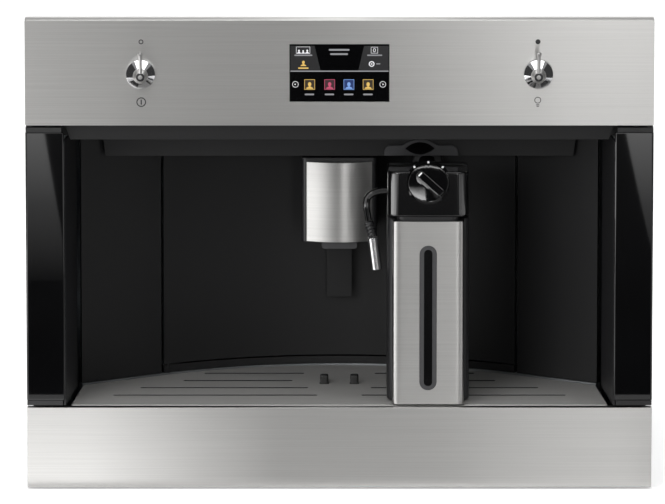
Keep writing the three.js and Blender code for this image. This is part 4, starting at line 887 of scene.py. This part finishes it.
class MACHINE_OT_fronts(bpy.types.Operator):
    """Folded stainless fronts above and below the niche"""

    bl_idname = "machine.fronts"
    bl_label = "Steel fronts"

    def execute(self, context):
        rounding = context.scene.machine_sizes.front_edge / MM
        for node in ("control_fascia", "lower_fascia"):
            refined(node, "brushed_steel", rounding, 3)
        return {"FINISHED"}


# Printed symbols on the upper front: shape, X, Z, width, height and outline, in mm.
SYMBOLS = (
    ("disc", -187.5, 434.5, 4.6, 4.6, 0.9),
    ("disc", -187.5, 376.5, 9.2, 9.2, 1.0),
    ("bar", -187.5, 376.5, 1.2, 5.2, 0.0),
    ("disc", 187.5, 434.6, 4.8, 4.8, 0.0),
    ("disc", 187.5, 378.4, 6.4, 6.4, 0.7),
    ("bar", 187.5, 373.9, 3.2, 0.8, 0.0),
    ("bar", 187.5, 372.5, 2.4, 0.8, 0.0),
)


class MACHINE_OT_symbols(bpy.types.Operator):
    """Printed symbols above and below the two knobs"""

    bl_idname = "machine.symbols"
    bl_label = "Symbols"

    def execute(self, context):
        marks = [
            flat("symbol", shape, x, z, width, height, FRONT, rim=rim)
            for shape, x, z, width, height, rim in SYMBOLS
        ]
        settle(joined("front_symbols", marks), MACHINE, "black_paint", "ink")
        return {"FINISHED"}


# Lines of the display's picture: finish, shape, X, Z, width, height and outline in mm, and turn in degrees.
PICTURE = (
    ("soft", "bar", -0.3, 426.8, 19.5, 1.7, 0, 0),
    ("soft", "bar", -0.4, 422.7, 16.8, 1.7, 0, 0),
    ("soft", "bar", 0, 406.3, 93.2, 1.1, 0, 0),
    ("soft", "bar", -34.2, 421.6, 17.0, 1.3, 0, 0),
    ("soft", "bar", 33.2, 421.6, 14.2, 1.3, 0, 0),
    ("soft", "bar", 36.6, 413.3, 4.0, 1.1, 0, 0),
    ("gold", "bar", -34.2, 409.2, 9.9, 1.3, 0, 0),
    ("pale", "tile", -34.4, 426.5, 13.2, 6.6, 0.35, 0),
    ("pale", "tile", 33.0, 426.5, 6.6, 6.1, 0.35, 0),
    ("pale", "disc", 33.0, 426.5, 2.6, 3.8, 0.5, 0),
    ("pale", "disc", 30.4, 413.2, 5.4, 5.4, 0.9, 0),
    ("pale", "arrow", 30.4, 413.2, 2.4, 2.4, 0, -90),
    ("pale", "disc", -41.7, 393.6, 6.0, 6.0, 0.45, 0),
    ("pale", "arrow", -41.9, 393.6, 1.9, 2.2, 0, -90),
    ("pale", "disc", 41.0, 393.6, 6.0, 6.0, 0.45, 0),
    ("pale", "arrow", 41.2, 393.6, 1.9, 2.2, 0, 90),
)
# Plain busts in the picture: finish, X, foot and size.
BUSTS = (
    ("pale", -38.3, 423.5, 3.7),
    ("pale", -34.3, 423.5, 3.2),
    ("pale", -30.5, 423.5, 3.7),
    ("gold", -34.1, 411.2, 5.4),
)
# Parts of a bust: shape, and as shares of its size the rise over its foot, the width and the height.
BUST_PARTS = (
    ("shoulders", 0, 1, 0.62),
    ("disc", 0.66, 0.48, 0.6),
    ("bar", 0.38, 0.24, 0.3),
)
# Tiles in the picture: finish of the frame and the bust, finish of the ground, X.
TILES = (
    ("gold", "amber", -28.2),
    ("rose", "maroon", -9.3),
    ("blue", "navy", 8.9),
    ("gold", "amber", 27.1),
)
# Heights of the tiles and of the labels under them, the width of a tile's frame, how much smaller its ground
# is, and the label's shift to the left and thickness.
TILE_HEIGHT = 393.4
TILE_FRAME = 0.42
TILE_INSET = 0.6
LABEL_HEIGHT = 383.9
LABEL_SHIFT = 0.2
LABEL_THICKNESS = 1.5
# As shares of a tile: how far a bust's foot lies under its middle, the bust's size and the label's length.
TILE_FOOT = 0.42
TILE_BUST = 0.68
TILE_LABEL = 0.9
# Grey zones beside the picture's heading: side, inner edge, and how far the upper end of that edge leans.
ZONES = (
    (-1, -17.9, -5.7),
    (1, 17.9, 5.3),
)
ZONE_OUTER = 46.4
ZONE_MIDDLE = 418.8
ZONE_WIDTH = 28.5
ZONE_HEIGHT = 23.6
# Thickness of the picture's layers and the step between them.
LAYER = 0.06
LAYER_STEP = 0.05


class MACHINE_OT_display(bpy.types.Operator):
    """Black glass display with its lit picture of plain tiles, bars and arrows"""

    bl_idname = "machine.display"
    bl_label = "Display"

    def execute(self, context):
        refined("display_glass", "black_glass", 0.3, 2)
        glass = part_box("display_glass")[0].y / MM
        marks = {}

        def draw(key, shape, x, z, width, height, rim=0.0, turn=0.0, layer=0):
            front = glass - LAYER_STEP * layer
            mark = flat("mark", shape, x, z, width, height, front, LAYER, rim, radians(turn))
            marks.setdefault(key, []).append(mark)

        def draw_bust(key, x, foot, size):
            for shape, rise, width, height in BUST_PARTS:
                draw(key, shape, x, foot + size * rise, size * width, size * height, layer=1)

        for key, shape, x, z, width, height, rim, turn in PICTURE:
            draw(key, shape, x, z, width, height, rim, turn, 1)
        for key, x, foot, size in BUSTS:
            draw_bust(key, x, foot, size)
        tile = context.scene.machine_sizes.tile / MM
        for key, ground, x in TILES:
            draw(ground, "tile", x, TILE_HEIGHT, tile - TILE_INSET, tile - TILE_INSET)
            draw(key, "tile", x, TILE_HEIGHT, tile, tile, TILE_FRAME, layer=1)
            draw_bust(key, x, TILE_HEIGHT - tile * TILE_FOOT, tile * TILE_BUST)
            draw("soft", "bar", x - LABEL_SHIFT, LABEL_HEIGHT, tile * TILE_LABEL, LABEL_THICKNESS, layer=1)
        for side, inner, lean in ZONES:
            middle = (inner + side * ZONE_OUTER) / 2
            zone = flat("zone", "tile", middle, ZONE_MIDDLE, ZONE_WIDTH, ZONE_HEIGHT, glass, LAYER_STEP)
            choose(zone, "VERT", lambda at, normal: abs(at.x) < abs(middle) and at.z > ZONE_MIDDLE)
            bpy.ops.transform.translate(value=(lean * MM, 0, 0))
            leave_edit()
            marks.setdefault("zone", []).append(zone)
        for key, pieces in marks.items():
            settle(joined("display_" + key, pieces), MACHINE, "black_glass", key)
        return {"FINISHED"}


class MACHINE_OT_pillars(bpy.types.Operator):
    """Black glass pillars beside the niche"""

    bl_idname = "machine.pillars"
    bl_label = "Glass pillars"

    def execute(self, context):
        for side in ("left", "right"):
            refined("pillar_glass_" + side, "black_glass", 0.5, 3)
        return {"FINISHED"}


# Knob in mm: its spindle's radius and foot behind the front, its rim as (how far inside its radius, distance
# from the front), how far out its cone ends, and what the cone's last step and the boss's chamfer take.
KNOB_SPINDLE = 3.0
KNOB_FOOT = -8.5
KNOB_RIM = [(0.8, -0.4), (0, 0.4), (0, 4.4), (0.1, 4.8), (0.45, 5.2)]
KNOB_CONE = 12.0
CONE_STEP = (0.2, 0.8)
BOSS_CHAMFER = 0.4
# End plug of a knob: radius and distance beyond the boss, in mm.
KNOB_PLUG = [(4.1, 1.5), (4.1, 4.6), (3.7, 5.1), (2.2, 5.2), (1.9, 4.9), (0.4, 4.8)]


class MACHINE_OT_knobs(bpy.types.Operator):
    """Two chrome dial knobs, each with a boss and a raised lever"""

    bl_idname = "machine.knobs"
    bl_label = "Knobs"

    def execute(self, context):
        boss = context.scene.machine_sizes.knob_boss / MM
        for knob in ("power", "light"):
            low, high = ends(knob + "_knob")
            centre = ((low.x + high.x) / 2, FRONT, (low.z + high.z) / 2)
            radius = (high.x - low.x) / 2
            reach = FRONT - low.y
            towards = (0, -1, 0)
            body = knob + "_control"
            rings = [(KNOB_SPINDLE, KNOB_FOOT), (KNOB_SPINDLE, KNOB_RIM[0][1])]
            rings += [(radius - inside, distance) for inside, distance in KNOB_RIM]
            rings += [(boss + CONE_STEP[0], KNOB_CONE - CONE_STEP[1]), (boss, KNOB_CONE)]
            dial = turned(knob + "_dial", rings, centre, towards, 96)
            soften(dial, 0)
            settle(dial, body, "chrome", "chrome", knob + "_knob")
            rings = [(boss, KNOB_CONE + 0.05), (boss, reach - BOSS_CHAMFER)]
            rings += [(boss - BOSS_CHAMFER, reach), (0.6, reach)]
            cap = turned(knob + "_boss", rings, centre, towards, 96)
            soften(cap, 0)
            settle(cap, body, "chrome", "satin_chrome")
            rings = [(width, reach + beyond) for width, beyond in KNOB_PLUG]
            plug = turned(knob + "_plug", rings, centre, towards, 64)
            soften(plug, 0)
            settle(plug, body, "gloss_black", "satin_black")
            refined(knob + "_lever", "satin_chrome", 0.2, 2)
        return {"FINISHED"}


class MACHINE_OT_niche(bpy.types.Operator):
    """Frame behind the fronts and the moulded walls of the niche"""

    bl_idname = "machine.niche"
    bl_label = "Niche"

    def execute(self, context):
        refined("front_frame", "black_paint")
        refined("niche_sill", "semi_gloss_black")
        for node in ("valance", "dispenser_header"):
            refined(node, "semi_gloss_black")
        for side in ("left", "right"):
            refined("niche_wall_" + side, "satin_black")
            refined("back_panel_" + side, "semi_gloss_black")
            refined("niche_lamp_" + side, "warm_lens", 0.5, 3)
        refined("dock_bezel", "dark_grey", 0.5, 3)
        return {"FINISHED"}


class MACHINE_OT_door(bpy.types.Operator):
    """Curved service door in the middle of the niche and the nozzle for the carafe"""

    bl_idname = "machine.door"
    bl_label = "Service door"

    def execute(self, context):
        refined("service_door", "semi_gloss_black", 0.4, 2)
        refined("steam_nozzle", "satin_black", 0.4, 3)
        return {"FINISHED"}


class MACHINE_OT_spout(bpy.types.Operator):
    """Coffee spout: slide, curved steel cover and twin outlet"""

    bl_idname = "machine.spout"
    bl_label = "Coffee spout"

    def execute(self, context):
        refined("spout_body", "satin_black", 0.5, 3)
        refined("spout_cover", "brushed_steel", 0.4, 3)
        refined("spout_outlet", "dark_grey", 0.5, 3)
        return {"FINISHED"}


# How much wider the cover's slot is than the window in it, and how deep it is cut, in mm.
SLOT_PLAY = 0.5
SLOT_DEPTH = 12
# How far the window's pane lies behind its frame, and its thickness, in mm.
PANE_RECESS = 0.6
PANE_THICKNESS = 0.3


class MACHINE_OT_carafe(bpy.types.Operator):
    """Milk jug with its steel cover, level window and intake tube"""

    bl_idname = "machine.carafe"
    bl_label = "Milk carafe"

    def execute(self, context):
        refined("carafe_body", "satin_black", 0.5, 3)
        self.add_cover(context)
        refined("carafe_window", "dark_grey", 0.15, 2)
        refined("intake_tube", "clear_plastic")
        low, high = ends("carafe_window")
        groove = (high.x - low.x) / 2
        middle = (low + high) / 2
        height = high.z - low.z - groove
        front = low.y + PANE_RECESS
        pane = flat("carafe_window_pane", "bar", middle.x, middle.z, groove, height, front, PANE_THICKNESS)
        settle(pane, "milk_carafe", "gloss_black", "gloss_black")
        return {"FINISHED"}

    def add_cover(self, context):
        """Folds the steel sheet round the front of the jug and cuts its slot."""
        size = context.scene.machine_sizes
        low, high = ends("carafe_cover")
        cover = block("carafe_cover_sheet", (low.x, high.x), (low.y, high.y), (low.z, high.z))
        round_chosen(
            cover, lambda at, way: upright(at, way) and at.y < low.y + 1, size.cover_corner, 20, profile=0.78
        )
        choose(cover, "FACE", lambda at, facing: facing.y > 0.9 or abs(facing.z) > 0.9)
        bpy.ops.mesh.delete(type="FACE")
        leave_edit()
        modify(cover, "SOLIDIFY", thickness=size.sheet, offset=-1)
        window_low, window_high = ends("carafe_window")
        middle = (window_low + window_high) / 2
        width = window_high.x - window_low.x + SLOT_PLAY
        height = window_high.z - window_low.z + SLOT_PLAY
        place = (middle.x, low.y, middle.z)
        slot = slab("slot", place, (1, 0, 0), (0, 0, 1), (width, height, SLOT_DEPTH), width / 2 - 0.02)
        carve(cover, slot)
        soften(cover, 0.3, 3)
        settle(cover, "milk_carafe", "brushed_steel", "brushed_steel", "carafe_cover")


# Carafe's lid in mm: heights above the lowest point of its plug, the front behind the hood's, how far its top
# falls to the rear, and the radius of its upright corners.
LID_FOOT = 9.6
LID_TOP = 53.6
LID_FRONT = 8
LID_FALL = 8.5
LID_CORNER = 12
# Its plug in the jug: how far it stands in from the lid at the sides, front and rear, how far it reaches up
# into the lid, and its corners.
PLUG_SIDE = 9.2
PLUG_FRONT = 2.3
PLUG_REAR = 2.8
PLUG_OVERLAP = 3
PLUG_CORNER = 8
# Rings round the dial's axis: radius and distance along it, in mm.
HOOD = [(22.4, -20), (22.4, -2.3), (22.25, -1.8), (21.9, -1.5), (21.0, -1.5)]
SEAT = [(17.7, -20), (17.7, -7)]
RECESS = [(20.0, -8), (20.0, 40)]
WELL = [(4.4, -18), (4.4, 1)]
# Holes for the nozzle at the rear and for the milk pipe at the left, and how deep they go.
NOZZLE_HOLE = [(8.4, 0), (8.4, 20)]
NOZZLE_DEPTH = 12
PIPE_HOLE = [(3.8, 0), (3.8, 20)]
PIPE_DEPTH = 7.8
# White ticks on the hood: their angles, their width, and how far they lie from the dial's axis.
TICK_ANGLES = (-39, 0, 40)
TICK_WIDTH = 2.0
TICK_CORNER = 0.5
TICK_RADIUS = 21.1


class MACHINE_OT_lid(bpy.types.Operator):
    """Gloss lid of the carafe: a cap that falls to the rear, the hood over the dial, its seat and sockets"""

    bl_idname = "machine.lid"
    bl_label = "Carafe lid"

    def execute(self, context):
        size = context.scene.machine_sizes
        low, high = ends("carafe_lid")
        foot, top, front = low.z + LID_FOOT, low.z + LID_TOP, low.y + LID_FRONT
        cap = block("carafe_lid_body", (low.x, high.x), (front, high.y), (foot, top))
        choose(cap, "EDGE", lambda at, way: at.z > top - 1 and at.y > high.y - 1 and abs(way.x) > 0.9)
        bpy.ops.transform.translate(value=(0, 0, -LID_FALL * MM))
        leave_edit()
        round_chosen(cap, upright, LID_CORNER * MM, 14)
        round_edges(cap, size.lid_edge, 5, 50)

        plug = block(
            "plug",
            (low.x + PLUG_SIDE, high.x - PLUG_SIDE),
            (front + PLUG_FRONT, high.y - PLUG_REAR),
            (low.z, foot + PLUG_OVERLAP),
        )
        round_chosen(plug, upright, PLUG_CORNER * MM, 8)
        carve(cap, plug, "UNION")

        hood = turned("hood", HOOD, DIAL, DIAL_AXIS, 96)
        edit_all(hood)
        bpy.ops.mesh.bisect(plane_co=DIAL * MM, plane_no=(0, 0, 1), clear_inner=True, use_fill=True)
        leave_edit()
        carve(cap, hood, "UNION")
        carve(cap, turned("seat", SEAT, DIAL, DIAL_AXIS, 64), "UNION")
        carve(cap, turned("recess", RECESS, DIAL, DIAL_AXIS, 96))
        carve(cap, turned("well", WELL, DIAL, DIAL_AXIS, 32))
        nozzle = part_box("steam_nozzle")
        socket = ((low.x + high.x) / 2, high.y - NOZZLE_DEPTH, (nozzle[0].z + nozzle[1].z) / 2 / MM)
        carve(cap, turned("socket", NOZZLE_HOLE, socket, (0, 1, 0), 48))
        pipe = Vector(JOINT["milk_pipe_swing"]["pos_m"]) / MM
        carve(cap, turned("outlet", PIPE_HOLE, (low.x + PIPE_DEPTH, pipe.y, pipe.z), (-1, 0, 0), 32))
        level_faces(cap)
        soften(cap, 0, angle=20)
        settle(cap, "milk_carafe", "gloss_black", "gloss_black", "carafe_lid")
        cap.data.materials.append(finish("satin_black"))
        for face in cap.data.polygons:
            if face.center.z / MM < foot - 0.2:
                face.material_index = 1

        ticks = []
        tick_size = (TICK_WIDTH, size.tick / MM, 2 * size.print_height / MM)
        for angle in TICK_ANGLES:
            out = ACROSS * sin(radians(angle)) + DIAL_UP * cos(radians(angle))
            place = DIAL + out * TICK_RADIUS + DIAL_AXIS * HOOD[-1][1]
            ticks.append(slab("tick", place, out.cross(DIAL_AXIS), out, tick_size, TICK_CORNER))
        settle(joined("hood_ticks", ticks), "milk_carafe", "gloss_black", "mark")
        return {"FINISHED"}


# Froth dial: its rings (radius, distance along its axis) in mm, from the spindle round the rim to the crown.
DIAL_RINGS = [
    (4.0, -16), (4.0, -7.7), (18.2, -7.7), (19.0, -7.3), (19.2, -6.7), (19.2, -1.1),
    (18.95, -0.4), (18.4, -0.1), (14, 0.28), (9, 0.55), (4, 0.7),
]
# Its bar, turned by an angle at rest: size, corners and edges, how far it lies beside the dial's axis, and
# where its middle is along its length and above the seat. Its white index: middle, height, size and corners.
BAR_TURN = radians(47)
BAR_SIZE = (8, 31.1, 9)
BAR_CORNER = 2.4
BAR_EDGE = 0.9
BAR_SHIFT = 1.2
BAR_MIDDLE = -3.05
BAR_HEIGHT = 3.5
INDEX_MIDDLE = 9.6
INDEX_HEIGHT = 8
INDEX_WIDTH = 4.6
INDEX_LENGTH = 1.5
INDEX_CORNER = 0.4


class MACHINE_OT_dial(bpy.types.Operator):
    """Froth dial with a raised bar and a white index"""

    bl_idname = "machine.dial"
    bl_label = "Froth dial"

    def execute(self, context):
        across = ACROSS * cos(BAR_TURN) + DIAL_UP * sin(BAR_TURN)
        along = DIAL_UP * cos(BAR_TURN) - ACROSS * sin(BAR_TURN)
        seat = DIAL - across * BAR_SHIFT
        dial = turned("froth_dial_body", DIAL_RINGS, DIAL, DIAL_AXIS, 128)
        middle = seat + along * BAR_MIDDLE + DIAL_AXIS * BAR_HEIGHT
        carve(dial, slab("bar", middle, across, along, BAR_SIZE, BAR_CORNER, BAR_EDGE), "UNION")
        level_faces(dial)
        soften(dial, 0, angle=24)
        settle(dial, "froth_dial", "gloss_black", "gloss_black", "froth_dial")
        middle = seat + along * INDEX_MIDDLE + DIAL_AXIS * INDEX_HEIGHT
        size = (INDEX_WIDTH, INDEX_LENGTH, 2 * context.scene.machine_sizes.print_height / MM)
        index = slab("dial_index", middle, across, along, size, INDEX_CORNER)
        settle(index, "froth_dial", "gloss_black", "mark")
        return {"FINISHED"}


class MACHINE_OT_milk_pipe(bpy.types.Operator):
    """Swivelling milk pipe with its ribbed nut and bright sleeve"""

    bl_idname = "machine.milk_pipe"
    bl_label = "Milk pipe"

    def execute(self, context):
        refined("milk_pipe", "gloss_black", 0.2)
        refined("pipe_nut", "satin_black", 0.15)
        refined("pipe_sleeve", "bright_tube", 0.15, 3)
        return {"FINISHED"}


# Float's two pegs in mm: how far apart their middles are in X, their place in Y, their height, corners and
# edges, how far their middles lie under the float's top, how much wider the holes in the grid are, and the
# corners of the holes.
PEG_SPACING = 29
PEG_DEPTH = -86.5
PEG_HEIGHT = 16.4
PEG_CORNER = 2.2
PEG_EDGE = 1.3
PEG_DROP = 8
HOLE_PLAY = 1
HOLE_CORNER = 2.5
# Cut edges of the grid's slots in mm: how far down they reach, and how far behind the front edge they begin.
CUT_DEPTH = 1.6
CUT_START = 3


class MACHINE_OT_tray(bpy.types.Operator):
    """Slotted cup grid, drip tray, level float and grounds container"""

    bl_idname = "machine.tray"
    bl_label = "Drip tray"

    def execute(self, context):
        size = context.scene.machine_sizes
        low, high = ends("cup_grid")
        top = high.z
        grid = merged_copy("cup_grid")
        round_chosen(
            grid,
            lambda at, way: at.y < low.y + 0.05 and at.z > top - 0.05 and abs(way.x) > 0.99,
            size.grid_front,
            5,
        )
        across, along = (1, 0, 0), (0, 1, 0)
        peg = size.peg / MM
        hole = peg + HOLE_PLAY
        middles = (-PEG_SPACING / 2, PEG_SPACING / 2)
        for x in middles:
            carve(grid, slab("hole", (x, PEG_DEPTH, top - 3), across, along, (hole, hole, 20), HOLE_CORNER))
        soften(grid, 0.15, 2)
        settle(grid, "drip_drawer", "brushed_steel", "grid_steel", "cup_grid")
        grid.data.materials.append(finish("cut_edge"))
        for face in grid.data.polygons:
            height = face.center.z / MM
            steep = abs(face.normal.z) < 0.95
            if steep and height > top - CUT_DEPTH and face.center.y / MM > low.y + CUT_START:
                face.material_index = 1
        refined("drip_tray", "satin_black")
        refined("level_float", "satin_black", 0.3, 3)
        peg_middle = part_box("level_float")[1].z / MM - PEG_DROP
        pegs = []
        for x in middles:
            place = (x, PEG_DEPTH, peg_middle)
            pegs.append(slab("peg", place, across, along, (peg, peg, PEG_HEIGHT), PEG_CORNER, PEG_EDGE))
            soften(pegs[-1], 0)
        settle(joined("float_pegs", pegs), BODY_OF["level_float"], "satin_black", "gloss_black")
        refined("grounds_container", "smoked_plastic")
        return {"FINISHED"}


class MACHINE_OT_works(bpy.types.Operator):
    """Hopper, grinder, brew unit, boiler, pump and control board"""

    bl_idname = "machine.works"
    bl_label = "Works"

    def execute(self, context):
        refined("bean_hopper", "smoked_plastic", 0.5, 3)
        for node in ("grinder", "boiler", "water_pump"):
            refined(node, "cast_metal", 0.5, 3)
        refined("infuser", "satin_black", 0.4)
        refined("control_board", "circuit_board", 0.15)
        refined("brew_bracket", "zinc_steel")
        return {"FINISHED"}


class MACHINE_OT_tank(bpy.types.Operator):
    """Water tank and the lids of the bean hopper and the coffee funnel"""

    bl_idname = "machine.tank"
    bl_label = "Tank and lids"

    def execute(self, context):
        refined("water_tank", "clear_plastic", 0.6, 3)
        for node in ("hopper_lid", "funnel_lid"):
            refined(node, "satin_black", 0.8, 3)
        return {"FINISHED"}


# Faces of the casing in mm, and the screws in them: each screw's place and its turn from facing the rear.
CASING_REAR = 219.5
CASING_SIDE = 265
CASING_TOP = 376
REAR_SCREWS = [((x, CASING_REAR, z), (0, 0, 0)) for x in (-255, 0, 255) for z in (14, 364)]
SIDE_SCREWS = [
    ((side * CASING_SIDE, y, z), (0, 0, -side * pi / 2))
    for side in (-1, 1)
    for y in (-150, 25, 200)
    for z in (24, 356)
]
TOP_SCREWS = [((x, y, CASING_TOP), (pi / 2, 0, 0)) for x in (-160, 160) for y in (-150, 10)]
# Screw head: rings as (share of its radius, distance in mm), and the width and depth of its cross slot.
SCREW_HEAD = [(1, -0.2), (1, 0.5), (0.93, 1.0), (0.75, 1.5), (0.4, 1.8)]
CROSS_WIDTH = 0.9
CROSS_DEPTH = 1.6


class MACHINE_OT_casing(bpy.types.Operator):
    """Sheet-metal chassis, panels, cover, mains inlet and their screws"""

    bl_idname = "machine.casing"
    bl_label = "Casing"

    def execute(self, context):
        for node in ("chassis_base", "side_panel_left", "side_panel_right", "rear_panel", "top_cover"):
            refined(node, "zinc_steel", 0.25)
        refined("mains_inlet", "satin_black", 0.5, 3)
        radius = context.scene.machine_sizes.screw / MM
        rings = [(radius * share, distance) for share, distance in SCREW_HEAD]
        head = turned("screw", rings, (0, 0, 0), (0, 1, 0), 24)
        for across, along in (((1, 0, 0), (0, 0, 1)), ((0, 0, 1), (1, 0, 0))):
            cross = (CROSS_WIDTH, radius * 1.1, CROSS_DEPTH)
            carve(head, slab("slot", (0, 1.6, 0), across, along, cross))
        soften(head, 0)
        copies = [copied(head, "screw", *seat) for seat in REAR_SCREWS + SIDE_SCREWS + TOP_SCREWS]
        bpy.data.objects.remove(head)
        settle(joined("casing_screws", copies), MACHINE, "zinc_steel", "zinc_steel")
        return {"FINISHED"}


class MACHINE_OT_rails(bpy.types.Operator):
    """Telescopic rails on both sides"""

    bl_idname = "machine.rails"
    bl_label = "Rails"

    def execute(self, context):
        for side in ("left", "right"):
            for member in ("outer", "middle", "inner"):
                refined("rail_%s_%s" % (member, side), "zinc_steel")
        return {"FINISHED"}


class MACHINE_PT_panel(bpy.types.Panel):
    """Lists the machine's settings and pieces"""

    bl_label = "Coffee machine"
    bl_idname = "MACHINE_PT_panel"
    bl_space_type = "VIEW_3D"
    bl_region_type = "UI"
    bl_category = "Machine"

    def draw(self, context):
        scene = context.scene
        for settings in (scene.machine_studio, scene.machine_sizes, scene.machine_colours):
            box = self.layout.box()
            for name in settings.__annotations__:
                box.prop(settings, name)
        for operator in OPERATORS:
            self.layout.operator(operator.bl_idname)


OPERATORS = (
    MACHINE_OT_stage,
    MACHINE_OT_fronts,
    MACHINE_OT_symbols,
    MACHINE_OT_display,
    MACHINE_OT_pillars,
    MACHINE_OT_knobs,
    MACHINE_OT_niche,
    MACHINE_OT_door,
    MACHINE_OT_spout,
    MACHINE_OT_carafe,
    MACHINE_OT_lid,
    MACHINE_OT_dial,
    MACHINE_OT_milk_pipe,
    MACHINE_OT_tray,
    MACHINE_OT_works,
    MACHINE_OT_tank,
    MACHINE_OT_casing,
    MACHINE_OT_rails,
)
SETTINGS = {
    "machine_studio": StudioSettings,
    "machine_sizes": SizeSettings,
    "machine_colours": ColourSettings,
}


def register():
    for item in (*SETTINGS.values(), *OPERATORS, MACHINE_PT_panel):
        bpy.utils.register_class(item)
    for name, settings in SETTINGS.items():
        setattr(bpy.types.Scene, name, bpy.props.PointerProperty(type=settings))


def unregister():
    for name in SETTINGS:
        delattr(bpy.types.Scene, name)
    for item in (MACHINE_PT_panel, *reversed(OPERATORS), *SETTINGS.values()):
        bpy.utils.unregister_class(item)


def main():
    register()
    for operator in OPERATORS:
        group, name = operator.bl_idname.split(".")
        getattr(getattr(bpy.ops, group), name)()


if __name__ == "__main__":
    main()
